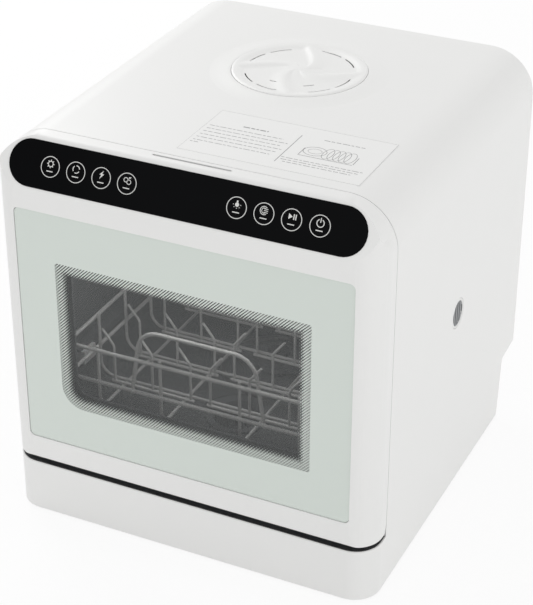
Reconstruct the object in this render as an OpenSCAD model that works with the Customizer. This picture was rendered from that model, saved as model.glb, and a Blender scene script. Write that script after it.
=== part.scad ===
// Countertop dishwasher with a bottom-hinged glass door, a wire rack that runs out with it,
// a spray arm, a twist-out filter and a vented fill cap over a built-in water tank.
// X runs across the front, -Y is the front, Z is up. Inside the modules Y is measured from the
// door's front face, and placed() moves the whole machine so that its origin is under its centre.

/* [Cabinet] */
// Width over the side walls
body_w = 430; // [424:2:450]
// Depth from the door's front face to the rear panel
body_d = 446; // [444:2:460]
// Height of the casing's top face above the floor
body_h = 452; // [450:1:466]
// Radius of the casing's two long top edges
side_r = 52; // [40:2:60]
// Radius of the upright front edges of door and sill, seen from above
front_r = 30; // [20:1:34]
// Wall of the casing moulding
casing_wall = 2.4; // [2:0.2:3]
// Height of the casing's lower edge above the floor
foot_h = 2; // [1.5:0.5:5]
// Height of the fixed sill below the door
sill_top = 64; // [60:1:66]
// Height of the black strip on the sill
sill_strip_h = 1.4; // [0.8:0.2:1.8]
// Depth by which the upper cabinet overhangs the plinth at the back
rear_overhang = 40; // [36:1:46]
// Height of the overhang's underside at the rear face
overhang_z = 82; // [80:1:86]
// Rise of the overhang's underside from plinth to rear face
overhang_rise = 5; // [2:1:8]
// Lean of the plinth's rear face over its height
plinth_lean = 8; // [4:1:10]
// Sheet of the rear panel
rear_wall = 2.4; // [2:0.2:3]

/* [Door] */
// Depth of the door from its front face to its rear face
door_d = 40; // [38:1:42]
// Gap between the door's rear face and the cabinet
seam_gap = 2; // [1.8:0.2:3]
// Gap between the sill's top and the door's lower edge
door_gap = 6; // [5:0.5:8]
// Wall of the door moulding
door_wall = 2.5; // [2:0.25:3]
// Radius of the door's lower front edge
door_lip_r = 4; // [3:0.5:6]
// Distance of the hinge axis behind the door's front face
pivot_y = 12; // [11:0.5:14]
// Height of the hinge axis above the door's lower edge
pivot_rise = 14; // [13:0.5:16]
// Height of the sloping control band's lower edge below the top
band_drop = 48; // [44:1:52]
// Tilt of the control band back from upright
band_tilt = 26; // [20:1:30]
// Radius of the edge between control band and top
band_top_r = 7; // [4:1:10]
// Width of the door glass
glass_w = 378; // [360:2:384]
// Distance of the glass's upper edge below the control band
glass_head = 26; // [25:1:36]
// Height of the glass's lower edge above the floor
glass_z = 99; // [98:1:104]
// Thickness of the door glass
glass_t = 4; // [3:0.5:5]
// Depth of the glass's front face behind the door's front face
glass_recess = 1.2; // [0.8:0.1:2]
// Radius of the glass's corners
glass_r = 6; // [4:1:10]
// Width of the ledge behind the glass's edge
glass_ledge = 12; // [8:1:14]
// Length of the finger slot in the door's top
slot_l = 87; // [70:1:100]
// Width of the finger slot
slot_w = 3; // [2.5:0.5:3.5]
// Distance of the finger slot behind the door's front face
slot_y = 33.4; // [33:0.2:34]
// Depth of the pocket under the finger slot
slot_depth = 18; // [12:1:22]

/* [Control strip] */
// Length of the black touch strip
strip_l = 391; // [360:1:392]
// Width of the black touch strip along the band's slope
strip_w = 48.6; // [42:0.2:49]
// Distance from the band's lower edge to the strip's centre line
strip_mid = 24.9; // [24.6:0.1:26]
// Thickness of the touch strip
strip_t = 3; // [2.5:0.5:4]
// Height of the strip's face over the band
strip_proud = 1; // [0.6:0.2:1.6]
// Length of the touch board behind the strip
board_l = 340; // [300:5:350]
// Width of the touch board
board_w = 30; // [24:1:34]
// Thickness of every circuit board
board_t = 1.6; // [1.2:0.2:2]
// Positions of the touch keys from the middle of the strip
key_x = [60, 89, 118, 147.4];
// Radius of one touch key
key_r = 10.7; // [8:0.1:12]

/* [Tub] */
// Inner width of the tub
tub_w = 336; // [326:2:340]
// Height between the tub's ceiling and the casing's top face
tub_head = 60; // [58:1:70]
// Height of the tub's floor above the ground
tub_z = 100; // [99:1:102]
// Inner depth of the tub behind its front flange
tub_depth = 352; // [340:2:354]
// Wall of the tub
tub_wall = 2; // [1.5:0.5:2.5]
// Radius of the tub's long inner edges
tub_r = 18; // [12:1:22]
// Width of the tub gasket
gasket_w = 9; // [7:0.5:10]
// Gap between the gasket and the closed door
gasket_gap = 0.3; // [0.2:0.1:0.6]
// Distance of the liner recess's sides inside the tub's walls
dish_in = 6; // [5:0.5:8]
// Depth of the liner recess's floor behind the door's front face
dish_y = 24; // [23:0.5:24.5]
// Width of the inner window pane
pane_w = 296; // [280:2:300]
// Height of the inner window pane
pane_h = 182; // [170:2:190]
// Height of the pane's centre above the floor
pane_mid_z = 235.5; // [230:0.5:240]
// Thickness of the inner window pane
pane_t = 3; // [2.5:0.5:4]

/* [Rack] */
// Distance of the rack's side rails from the tub's walls
rack_side_gap = 14; // [14:0.5:18]
// Distance of the rack's front rail behind the door's front face
rack_front = 30; // [29.5:0.5:34]
// Distance of the rack's rear rail from the tub's rear wall
rack_rear_gap = 14; // [12:1:34]
// Height of the rack's upper rail
rail_top_z = 209; // [200:1:214]
// Height of the rack's lower rail
rail_low_z = 169.5; // [166:0.5:172]
// Height of the rack's floor wires
floor_z = 133; // [132:1:138]
// Radius of the rail wire
rail_r = 2.2; // [2:0.1:2.4]
// Radius of the upright and floor wires
wire_r = 1.8; // [1.5:0.1:2]
// Radius of the tine wire
tine_r = 1.5; // [1.3:0.05:1.65]
// Corner radius of the rack's rails
rail_bend = 16; // [12:1:20]
// Bend radius of the upright wires where they turn into the floor
wire_bend = 18; // [14:1:20]
// Depth by which crossing wires are pressed into each other by welding
weld = 0.3; // [0.2:0.05:0.4]
// Distance of the outer long wires from the side rails
long_in = 36; // [30:1:40]
// Places of the inner long wires across the rack
long_mid_x = [-43, 50];
// Distance of each cross wire behind its tine row
cross_off = 8; // [6:1:12]
// Place of the first tine row behind the rack's front rail
tine_first = 54; // [50:1:56]
// Distance between tine rows
tine_pitch = 58; // [56:1:59]
// Number of tine rows
tine_rows = 5; // [2:1:5]
// Distance between the tines of a row
tine_step = 47; // [44:1:47]
// Distance of the outermost left-hand tine from the side rail
tine_left_in = 26; // [24:1:30]
// Distance of the outermost right-hand tine from the side rail
tine_right_in = 23; // [22:1:26]
// Height of a tine's upright part over its base wire
tine_up = 43; // [36:1:48]
// Length of a tine's leaning tip
tine_tip = 20; // [14:1:24]
// Lean of the tips from upright
tine_lean = 38; // [25:1:45]
// Height of the handle loop
handle_z = 244.5; // [236:0.5:250]
// Half length of the handle's straight top
handle_half = 43.7; // [36:0.1:48]
// Bend radius of the handle
handle_bend = 26; // [20:1:30]
// Lean of the handle's legs from upright
handle_lean = 8.5; // [4:0.5:12]
// Height of the handle's feet
handle_foot_z = 164; // [162:0.5:166]
// Length of one glide
glide_l = 24; // [18:1:30]
// Height of one glide
glide_h = 15.4; // [12:0.2:17]
// Distance of a glide's centre from the rack's end
glide_end = 46; // [40:1:56]
// Clearance of the glides in their channels
glide_clear = 0.4; // [0.3:0.1:0.6]

/* [Fill cap] */
// Radius of the fill cap
cap_r = 74; // [70:1:78]
// Distance of the cap's centre behind the door's front face
cap_y = 286; // [280:1:290]
// Thickness of the cap's plate
cap_plate = 2; // [1.6:0.2:2.4]
// Height of the cap's raised rim over its plate
cap_rim_h = 1.4; // [1:0.2:2]
// Width of the cap's raised rim
cap_rim_w = 5; // [3:0.5:7]
// Height of the curved ribs over the plate
rib_h = 1.6; // [1:0.2:2]
// Width of the curved ribs
rib_w = 5; // [3:0.5:7]
// Radius of the curve of each rib
rib_curve = 36; // [33:1:38]
// Radius of the outer ring of vent slots
vent_r = 56; // [52:1:57]
// Radius of the inner vent slots
vent_in_r = 40; // [36:1:44]
// Width of the vent slots
vent_w = 1.8; // [1.2:0.2:2.4]
// Angle that one outer vent slot spans
vent_span = 28; // [20:1:32]
// Inner radius of the fill opening's neck
neck_r = 66; // [62:1:67]
// Wall of the neck and of the cap's skirt
neck_wall = 2.4; // [2:0.2:3]
// Depth of the cap's skirt below the casing's top
skirt_depth = 5; // [3:0.5:6]
// Gap between the casing's top face and the cap's plate
cap_gap = 0.3; // [0.2:0.1:0.5]

/* [Tank] */
// Width of the water tank
tank_w = 300; // [280:5:310]
// Distance of the tank's rear from the rear panel's outer face
tank_rear_gap = 12; // [10:1:20]
// Distance of the tank's front behind the door's front face
tank_y = 190; // [184:1:192]
// Height between the tank's top and the casing's top face
tank_head = 8.7; // [8.2:0.1:11]
// Wall of the water tank
tank_wall = 2.5; // [2:0.25:3]
// Radius of the tank's filling hole
tank_hole_r = 58; // [50:1:60]

/* [Spray system] */
// Distance of the spray arm's axis behind the door's front face
arm_y = 236; // [232:1:240]
// Clearance of the blades' tips from the tub's side walls
arm_side_room = 20; // [16:1:30]
// Clearance of the blades' tips from the tub's rear wall
arm_rear_room = 10; // [9:1:20]
// Half width of a blade at its hub
blade_root = 17; // [14:0.5:20]
// Half width of a blade at its tip
blade_tip = 9; // [7:0.5:11]
// Thickness of the blades
blade_t = 7; // [5:0.5:8]
// Radius of the arm's hub
hub_r = 24; // [20:0.5:28]
// Radius of the post that carries the arm
post_r = 9; // [8:0.5:10]
// Radial clearance of the arm on its post
arm_clear = 0.06; // [0.03:0.01:0.1]
// Height of the arm's hub
hub_h = 15.5; // [14:0.5:16]
// Height of the post's collar on the tub floor
collar_h = 4; // [3:0.5:5]
// Radius of the heater's ring
heater_ring = 64; // [60:1:66]
// Radius of the heater's rod
heater_rod = 3.2; // [2.8:0.1:3.3]

/* [Filter and sump] */
// Distance of the filter's axis behind the door's front face
sump_y = 130; // [126:1:132]
// Inner radius of the sump bowl
sump_r = 43; // [40:0.5:44]
// Wall of the sump bowl
sump_wall = 3; // [2.5:0.5:3]
// Height of the sump bowl's underside
sump_z = 24; // [20:1:26]
// Radius of the filter cup's mesh tube
filter_r = 30; // [26:0.5:32]
// Clearance of the filter cup in its plate
filter_clear = 0.5; // [0.3:0.1:0.8]
// Height of the pump axes above the floor
pump_z = 45; // [43:1:46]
// Outer radius of the wash pump's volute
volute_r = 27; // [25:0.5:28]
// Outer radius of the wash pump's motor
wash_motor_r = 28; // [24:0.5:29]
// Length of the wash pump's motor
wash_motor_l = 74; // [60:1:80]
// Radius of the pump and fan shafts
shaft_r = 3; // [2.5:0.1:3.5]
// Radial clearance of an impeller on its shaft
shaft_clear = 0.05; // [0.02:0.01:0.1]
// Distance of the drain line from the machine's middle
drain_x = 74; // [72:1:80]
// Outer radius of the drain spigot
drain_r = 9; // [8:0.5:9]
// Outer radius of the drain line inside the machine
drain_line_r = 10; // [10:0.5:11]
// Inner radius of the drain line
drain_bore = 6.5; // [6:0.5:7]
// Length of the drain spigot behind its root
spigot_l = 24; // [18:1:28]
// Outer radius of the inlet valve's threaded spigot
inlet_r = 13; // [12.5:0.1:13.2]
// Length of the inlet spigot behind its root
inlet_spigot_l = 12; // [10:1:16]
// Distance of the inlet valve from the machine's middle
inlet_x = 110; // [104:1:120]
// Distance of the cord gland from the machine's middle
gland_x = 150; // [140:1:156]
// Bore of the cord gland
cord_bore_r = 3.6; // [3:0.1:4.2]

/* [Drying fan] */
// Height of the side grille's centre above the floor
grille_z = 232.6; // [226:0.2:238]
// Distance of the side grille behind the door's front face
grille_y = 230; // [224:1:236]
// Radius of the side grille
grille_r = 17; // [15:0.5:18]
// Radius of one grille hole
grille_hole_r = 1.6; // [1.2:0.1:1.7]
// Distance between grille holes
grille_pitch = 4.5; // [4.2:0.1:5]
// Rings of holes round the middle one
grille_rings = 3; // [1:1:3]
// Outer radius of the fan housing
fan_r = 22; // [21:0.5:23]
// Wall of the fan housing
fan_wall = 3; // [2.5:0.5:3.5]

/* [Hidden] */
$fn = 48;
over = 1;
seat = 0.3;
near = 0.05;
cab_y = door_d + seam_gap;
door_bottom = sill_top + door_gap;
pivot_z = door_bottom + pivot_rise;
half_w = body_w / 2;
band_start = body_h - band_drop;
glass_h = band_start - glass_head - glass_z;
inner_half = half_w - casing_wall;
plinth_y = body_d - rear_overhang;
plinth_low_y = plinth_y - plinth_lean;
overhang_low_z = overhang_z - overhang_rise;
casing_in_top = body_h - casing_wall;
tub_top = body_h - tub_head;
tub_h = tub_top - tub_z;
tub_back = cab_y + tub_depth;
tub_under = tub_z - tub_wall;
tub_side = tub_w / 2 + tub_wall;
tank_z = tub_top + tub_wall + seat;
tank_top = body_h - tank_head;
tank_h = tank_top - tank_z;
tank_d = body_d - tank_rear_gap - tank_y;
arm_r = min(tub_w / 2 - arm_side_room, tub_back - arm_rear_room - arm_y);
tray_t = 2.5;
tray_top = foot_h + tray_t;
arm_plate = 3;
arm_in = 43;
arm_x = half_w - arm_in;
arm_half = 5;
eye_r = 7;
pin_r = 3;
pin_clear = 0.05;
ear_t = 9;
arm_side_gap = 0.5;
ear_r = 8;
slope = [sin(band_tilt), cos(band_tilt)];
band_mid = [strip_mid * slope[0], band_start + strip_mid * slope[1]];

// Placing and outlines

module placed() {
    translate([0, -body_d / 2, 0]) children();
}

module along_x(x0, len) {
    translate([x0, 0, 0]) rotate([90, 0, 90]) linear_extrude(len) children();
}

module along_y(y0, len) {
    translate([0, y0 + len, 0]) rotate([90, 0, 0]) linear_extrude(len) children();
}

module rod_x(x0, x1, y, z, r) {
    translate([x0, y, z]) rotate([0, 90, 0]) cylinder(r = r, h = x1 - x0);
}

module rod_y(x, y0, y1, z, r) {
    translate([x, y1, z]) rotate([90, 0, 0]) cylinder(r = r, h = y1 - y0);
}

module rod_z(x, y, z0, z1, r) {
    translate([x, y, z0]) cylinder(r = r, h = z1 - z0);
}

module rrect_2d(w, h, r) {
    square([w - 2 * r, h], center = true);
    square([w, h - 2 * r], center = true);
    for (sx = [-1, 1], sy = [-1, 1])
        translate([sx * (w / 2 - r), sy * (h / 2 - r)]) circle(r);
}

// Arch of the cabinet from in front, drawn in by inset and open at the bottom
module arch_2d(inset, z0 = 0) {
    half = half_w - inset;
    top = body_h - inset;
    r = side_r - inset;
    translate([-half, z0]) square([2 * half, top - r - z0]);
    translate([-half + r, z0]) square([2 * (half - r), top - z0]);
    for (side = [-1, 1]) translate([side * (half - r), top - r]) circle(r);
}

// Plan of the door and sill with rounded front corners
module plan_2d(inset, depth) {
    half = half_w - inset;
    r = front_r - inset;
    translate([-half, front_r]) square([2 * half, depth - front_r]);
    intersection() {
        translate([-half, inset]) square([2 * half, r]);
        union() {
            translate([-half + r, inset]) square([2 * (half - r), r]);
            for (side = [-1, 1]) translate([side * (half - r), front_r]) circle(r);
        }
    }
}

// What the sloping band and the rounded top edge take off the door's side view
module band_cut_2d(inset) {
    z_c = body_h - band_top_r;
    shift = inset / slope[1];
    y_c = (z_c - band_start) * tan(band_tilt) + band_top_r / slope[1];
    r = band_top_r - inset;
    difference() {
        polygon([
            [-over, band_start - (shift + over) / tan(band_tilt)],
            [y_c - band_top_r * slope[1] + inset * slope[1],
                z_c + band_top_r * slope[0] - inset * slope[0]],
            [y_c, z_c],
            [y_c, body_h + over],
            [-over, body_h + over]
        ]);
        translate([y_c, z_c]) circle(r);
    }
}

// Side view of the door: hinge relief at the back, soft lip at the front
module door_side_2d(inset, rear) {
    r_back = door_d - pivot_y - inset;
    low = door_bottom + inset;
    lip = max(door_lip_r - inset, 0.5);
    difference() {
        union() {
            translate([inset, pivot_z]) square([rear - inset, body_h - pivot_z]);
            intersection() {
                translate([inset, low]) square([door_d, pivot_z - low]);
                union() {
                    translate([inset, low]) square([pivot_y - inset, pivot_z - low]);
                    translate([pivot_y, pivot_z]) circle(r_back);
                }
            }
        }
        band_cut_2d(inset);
        difference() {
            translate([inset - over, low - over]) square(lip + over);
            translate([inset + lip, low + lip]) circle(lip);
        }
    }
}

module door_solid(inset, rear) {
    intersection() {
        along_y(0, rear) arch_2d(inset);
        linear_extrude(body_h + over) plan_2d(inset, rear);
        along_x(-half_w, body_w) door_side_2d(inset, rear);
    }
}

// Frame of the sloping band: X across, Y up the slope, Z out of the face
module on_band() {
    translate([0, band_mid[0], band_mid[1]]) rotate([90 - band_tilt, 0, 0]) children();
}

module strip_2d(grow = 0) {
    r = strip_w / 2 + grow;
    run = strip_l - strip_w;
    square([run, 2 * r], center = true);
    for (side = [-1, 1]) translate([side * run / 2, 0]) circle(r);
}

// The same outline with its ends in short flats, for the recess in the door
module strip_recess_2d(grow) {
    r = strip_w / 2 + grow;
    run = strip_l - strip_w;
    polygon([for (side = [-1, 1], k = [-24 : 24])
        [side * (run / 2 + r * cos(k * 90 / 24)), side * r * sin(k * 90 / 24)]]);
}

// Cabinet

module casing_side_2d() {
    polygon([
        [cab_y, foot_h],
        [plinth_low_y, foot_h],
        [plinth_y, overhang_low_z],
        [body_d, overhang_z],
        [body_d, body_h + over],
        [cab_y, body_h + over]
    ]);
}

module sill_shell() {
    difference() {
        translate([0, 0, foot_h]) linear_extrude(sill_top - foot_h) plan_2d(0, cab_y);
        translate([0, 0, foot_h - over])
            linear_extrude(sill_top - foot_h - casing_wall + over) plan_2d(casing_wall, cab_y + over);
    }
}

module outer_casing() color([0.92, 0.92, 0.91]) placed() difference() {
    union() {
        intersection() {
            along_y(cab_y, body_d - cab_y) difference() {
                arch_2d(0);
                arch_2d(casing_wall, -over);
            }
            along_x(-half_w, body_w) casing_side_2d();
        }
        sill_shell();
    }
    rod_z(0, cap_y, tank_top, body_h + over, neck_r + neck_wall + seat);
    rod_x(inner_half - over, half_w + over, grille_y, grille_z, grille_r + seat);
}

louvre_w = 60;
louvre_h = 4;
louvre_pitch = 12;
louvre_rows = 6;
louvre_z = 300;
louvre_x = 100;

module rear_panel() color([0.86, 0.86, 0.85]) placed() difference() {
    intersection() {
        along_y(plinth_low_y - 2 * rear_wall, body_d) arch_2d(casing_wall + seat, foot_h);
        along_x(-half_w, body_w) polygon([
            [plinth_low_y, foot_h],
            [plinth_y, overhang_low_z],
            [body_d, overhang_z],
            [body_d, body_h],
            [body_d - rear_wall, body_h],
            [body_d - rear_wall, overhang_z + rear_wall],
            [plinth_y - rear_wall, overhang_low_z + rear_wall],
            [plinth_low_y - rear_wall, foot_h]
        ]);
    }
    for (side = [-1, 1], row = [0 : louvre_rows - 1])
        translate([side * louvre_x, body_d - rear_wall / 2, louvre_z + row * louvre_pitch])
            cube([louvre_w, rear_wall + over, louvre_h], center = true);
    rod_y(-drain_x, spigot_root_y, body_d, pump_z, drain_line_r + seat);
    rod_y(inlet_x, spigot_root_y, body_d, pump_z, inlet_root_r + seat);
    rod_y(-gland_x, spigot_root_y, body_d, pump_z, gland_r + seat);
}

post_x = 130;
post_front = 70;
post_rear = 48;
post_y = [post_front, plinth_low_y - post_rear];
post_size = 16;
cradle_w = 36;
cradle_l = 40;
gland_r = 9;

module base_tray() color([0.55, 0.56, 0.57]) placed() {
    difference() {
        translate([0, 0, foot_h]) linear_extrude(tray_t)
            plan_2d(casing_wall + seat, plinth_low_y - rear_wall - seat);
        for (side = [-1, 1], y = [foot_in, plinth_low_y - foot_in])
            rod_z(side * (half_w - foot_in), y, 0, foot_h + foot_stem, foot_stem_r + seat / 2);
    }
    for (side = [-1, 1], y = post_y) difference() {
        translate([side * post_x - post_size / 2, y - post_size / 2, tray_top])
            cube([post_size, post_size, tub_under - seat - tray_top]);
        translate([side * post_x - post_size / 2 + tray_t, y - post_size / 2 - over, tray_top + post_size])
            cube([post_size - 2 * tray_t, post_size + 2 * over, tub_under - tray_top - 2 * post_size]);
    }
    difference() {
        translate([-cradle_w / 2, motor_y + wash_motor_l / 2 - cradle_l / 2, tray_top])
            cube([cradle_w, cradle_l, pump_z - wash_motor_r / 2 - tray_top]);
        rod_y(0, motor_y, motor_y + wash_motor_l, pump_z, wash_motor_r + seat);
    }
    difference() {
        translate([-drain_motor_x - drain_motor_l + tray_t, sump_y - drain_motor_r / 2, tray_top])
            cube([drain_motor_l - 2 * tray_t, drain_motor_r, pump_z - drain_motor_r / 2 - tray_top]);
        rod_x(-drain_motor_x - drain_motor_l, -drain_motor_x, sump_y, pump_z, drain_motor_r + seat);
    }
}

foot_in = 42;
foot_r = 14;
foot_stem = 1.6;
foot_stem_r = 5;

module foot(sx, y) color([0.12, 0.12, 0.12]) placed() {
    rod_z(sx * (half_w - foot_in), y, 0, foot_h, foot_r);
    rod_z(sx * (half_w - foot_in), y, foot_h, foot_h + foot_stem, foot_stem_r);
}

module foot_front_left() foot(-1, foot_in);
module foot_front_right() foot(1, foot_in);
module foot_rear_left() foot(-1, plinth_low_y - foot_in);
module foot_rear_right() foot(1, plinth_low_y - foot_in);

strip_inset = 7;

module sill_strip() color([0.1, 0.1, 0.1]) placed()
    translate([0, 0, sill_top]) linear_extrude(sill_strip_h) plan_2d(strip_inset, cab_y - seat);

// Tub

mouth_mid_z = tub_z + tub_h / 2;
flange_drop = 12;
flange_low_z = sill_top - flange_drop;
arm_slot_gap = 1;
catch_drop = 38;
catch_z = body_h - catch_drop;
catch_half = 14;
catch_in_h = 16;
fan_bore = fan_r - fan_wall;
lamp_y = 120;
lamp_r = 12;
lamp_body_h = 14;
lamp_lip = 3;
lamp_lens_h = 3.5;

module tub_box_2d(grow) {
    translate([0, mouth_mid_z])
        rrect_2d(tub_w + 2 * grow, tub_h + 2 * grow, tub_r + grow);
}

module tub() color([0.42, 0.43, 0.44]) placed() difference() {
    union() {
        along_y(cab_y, tub_wall) arch_2d(casing_wall + seat, flange_low_z);
        along_y(cab_y, tub_depth + tub_wall) tub_box_2d(tub_wall);
    }
    along_y(cab_y - over, tub_depth + over) tub_box_2d(0);
    rod_z(0, sump_y, tub_under - over, tub_z + over, sump_r);
    rod_z(0, arm_y, tub_under - over, tub_z + over, riser_r + seat);
    rod_z(0, lamp_y, tub_top - over, tub_top + tub_wall + over, lamp_r);
    rod_x(tub_w / 2 - over, tub_side + over, grille_y, grille_z, fan_bore);
    for (side = [-1, 1]) {
        translate([side * arm_x - arm_plate / 2 - arm_slot_gap, cab_y - over,
            pivot_z - arm_half - arm_slot_gap])
            cube([arm_plate + 2 * arm_slot_gap, tub_wall + 2 * over, 2 * (arm_half + arm_slot_gap)]);
        rotate_about(0, arm_y, side * heater_leg_angle)
            rod_z(0, arm_y + heater_ring, tub_under - over, tub_z + over, heater_rod + seat);
    }
    translate([-catch_half, cab_y - over, catch_z]) cube([2 * catch_half, tub_wall + 2 * over, catch_in_h]);
}

module rotate_about(x, y, angle) {
    translate([x, y, 0]) rotate([0, 0, angle]) translate([-x, -y, 0]) children();
}

module tub_gasket() color([0.3, 0.3, 0.31]) placed()
    along_y(door_d + gasket_gap, seam_gap - gasket_gap) difference() {
        tub_box_2d(gasket_w);
        tub_box_2d(0);
    }

guide_h = glide_h + 2 * glide_clear;
guide_web = 1.7;
guide_lip = 2;
guide_w = 10;
guide_y = 62;
guide_end = 16;

module guide_rail(side) color([0.5, 0.51, 0.52]) placed()
    along_y(guide_y, tub_depth - guide_y + cab_y - guide_end) difference() {
        translate([side * (tub_w / 2 - guide_w / 2), rail_low_z])
            square([guide_w, guide_h + 2 * guide_lip], center = true);
        translate([side * (tub_w / 2 - guide_w / 2 - guide_web), rail_low_z])
            square([guide_w, guide_h], center = true);
    }

module guide_rail_left() guide_rail(-1);
module guide_rail_right() guide_rail(1);

module tub_lamp() color([0.95, 0.95, 0.9]) placed() {
    rod_z(0, lamp_y, tub_top - lamp_lens_h, tub_top, lamp_r + lamp_lip);
    rod_z(0, lamp_y, tub_top, tub_top + lamp_body_h, lamp_r - seat);
}

catch_wall = 3;
catch_depth = 22;

module door_catch() color([0.85, 0.85, 0.84]) placed() difference() {
    translate([-catch_half - catch_wall, cab_y + tub_wall, catch_z - catch_wall])
        cube([2 * (catch_half + catch_wall), catch_depth, catch_in_h + 2 * catch_wall]);
    translate([-catch_half, cab_y + tub_wall - over, catch_z])
        cube([2 * catch_half, catch_depth - catch_wall + over, catch_in_h]);
}

// Water way

sump_flange = 9;
ledge_w = 5;
plate_t = 2.5;
stub_r = 14;
plate_proud = 0.5;
ledge_z = tub_under - plate_t + plate_proud;
volute_y = 192;
volute_l = 24;
volute_wall = 3;
motor_y = volute_y + volute_l + seat;
drain_stub = 6;
drain_body_r = 19;
drain_x0 = sump_r + sump_wall + drain_stub + seat;
drain_half = 12;
drain_x1 = drain_x + drain_half;
drain_motor_x = drain_x1 + seat;
drain_motor_r = 17;
drain_motor_l = 36;
drain_out = 35;
drain_out_y = sump_y + drain_out;

module sump() color([0.3, 0.31, 0.32]) placed() difference() {
    union() {
        rod_z(0, sump_y, sump_z, tub_under, sump_r + sump_wall);
        rod_z(0, sump_y, tub_under - sump_wall, tub_under, sump_r + sump_flange);
        rod_y(0, sump_y, volute_y - seat, pump_z, stub_r);
        rod_x(-drain_x0 + seat, 0, sump_y, pump_z, drain_line_r);
    }
    rod_z(0, sump_y, ledge_z, tub_under + over, sump_r);
    rod_z(0, sump_y, ledge_z - over, ledge_z + over, sump_r - ledge_w);
    rod_z(0, sump_y, sump_z + sump_wall, ledge_z - sump_wall, sump_r);
    rod_z(0, sump_y, sump_z + sump_wall, ledge_z, sump_r - ledge_w);
    rod_y(0, sump_y, volute_y, pump_z, stub_r - volute_wall);
    rod_x(-drain_x0, 0, sump_y, pump_z, drain_bore);
}

plate_hole_r = 1.5;

module filter_plate() color([0.62, 0.63, 0.64]) placed() difference() {
    rod_z(0, sump_y, ledge_z, ledge_z + plate_t, sump_r - seat);
    rod_z(0, sump_y, ledge_z - over, ledge_z + plate_t + over, filter_r + filter_clear);
    for (a = [0 : 15 : 345])
        rotate_about(0, sump_y, a)
            rod_z(sump_r - ledge_w - plate_hole_r, sump_y, ledge_z - over, ledge_z + plate_t + over,
                plate_hole_r);
}

riser_r = 12;
duct_half = 13;
duct_z = 76;
duct_h = 18;
duct_wall = 2.5;
post_spare = 3;
nut_grip = 2;
collar_out = 4;
post_top = tub_z + collar_h + hub_h + post_spare;

module spray_post() color([0.35, 0.36, 0.37]) placed() difference() {
    union() {
        translate([-duct_half, volute_y, duct_z])
            cube([2 * duct_half, arm_y + duct_half - volute_y, duct_h]);
        rod_z(0, arm_y, duct_z + duct_h - over, tub_z, riser_r);
        rod_z(0, arm_y, tub_z, tub_z + collar_h, riser_r + collar_out);
        rod_z(0, arm_y, tub_z + collar_h, post_top, post_r);
    }
    translate([-duct_half + duct_wall, volute_y + duct_wall, duct_z + duct_wall])
        cube([2 * (duct_half - duct_wall), arm_y + duct_half - volute_y - 2 * duct_wall,
            duct_h - 2 * duct_wall]);
    rod_z(0, arm_y, duct_z + duct_wall, post_top - duct_wall, post_r - duct_wall);
    rod_z(0, volute_y + volute_l / 2, duct_z - over, duct_z + duct_h / 2, volute_out_r - duct_wall);
}

nut_r = 13;
nut_h = 5;

module spray_nut() color([0.25, 0.26, 0.27]) placed() difference() {
    rod_z(0, arm_y, post_top - nut_grip, post_top - nut_grip + nut_h, nut_r);
    rod_z(0, arm_y, post_top - nut_grip - over, post_top, post_r + near / 2);
}

hub_rim = 8;
jet_r = 1.6;
jet_depth = 2;
jet_first = 12;
jet_last = 14;
jet_side = [-2, 3];

module spray_arm() color([0.7, 0.71, 0.72]) placed() translate([0, arm_y, tub_z + collar_h + seat]) {
    blade_z = (hub_h - seat - blade_t) / 2;
    jet_pitch = (arm_r - hub_r - jet_first - jet_last) / 4;
    difference() {
        union() {
            cylinder(r = hub_r - hub_rim, h = hub_h - seat);
            translate([0, 0, blade_z]) cylinder(r = hub_r, h = blade_t);
            for (turn = [0, 180]) rotate([0, 0, turn]) translate([0, 0, blade_z]) linear_extrude(blade_t) {
                polygon([
                    [0, -blade_root],
                    [arm_r - blade_tip, -blade_tip],
                    [arm_r - blade_tip, blade_tip],
                    [0, blade_root]
                ]);
                translate([arm_r - blade_tip, 0]) circle(blade_tip);
            }
        }
        translate([0, 0, -over]) cylinder(r = post_r + arm_clear, h = hub_h + 2 * over);
        for (turn = [0, 180], step = [0 : 4]) rotate([0, 0, turn])
            translate([hub_r + jet_first + step * jet_pitch, jet_side[step % 2],
                blade_z + blade_t - jet_depth])
                cylinder(r = jet_r, h = jet_depth + over);
    }
}

heater_leg_angle = 12;
heater_lift = 0.6;
heater_leg = 10;
heater_z = tub_z + heater_rod + heater_lift;

module heater_element() color([0.5, 0.5, 0.52]) placed() {
    translate([0, arm_y, heater_z]) rotate([0, 0, 90 + heater_leg_angle])
        rotate_extrude(angle = 360 - 2 * heater_leg_angle) translate([heater_ring, 0])
            circle(heater_rod - bend_slim);
    for (side = [-1, 1]) rotate_about(0, arm_y, side * heater_leg_angle)
        rod_z(0, arm_y + heater_ring, tub_under - heater_leg, heater_z + heater_rod, heater_rod);
}

volute_out_r = 8;

module wash_pump_housing() color([0.2, 0.21, 0.22]) placed() difference() {
    union() {
        rod_y(0, volute_y, volute_y + volute_l, pump_z, volute_r);
        rod_z(0, volute_y + volute_l / 2, pump_z, duct_z - seat, volute_out_r);
    }
    rod_y(0, volute_y + volute_wall, volute_y + volute_l - volute_wall, pump_z, volute_r - volute_wall);
    rod_z(0, volute_y + volute_l / 2, pump_z, duct_z, volute_out_r - duct_wall);
    rod_y(0, volute_y - over, volute_y + volute_wall + over, pump_z, stub_r - volute_wall);
    rod_y(0, volute_y, volute_y + volute_l + over, pump_z, shaft_r + seat);
}

impeller_gap = 2;

module wash_pump_motor() color([0.55, 0.56, 0.58]) placed() {
    rod_y(0, motor_y, motor_y + wash_motor_l, pump_z, wash_motor_r);
    rod_y(0, volute_y + volute_wall + impeller_gap, motor_y, pump_z, shaft_r);
}

vane_t = 1.6;
hub_wall = 3;

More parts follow.
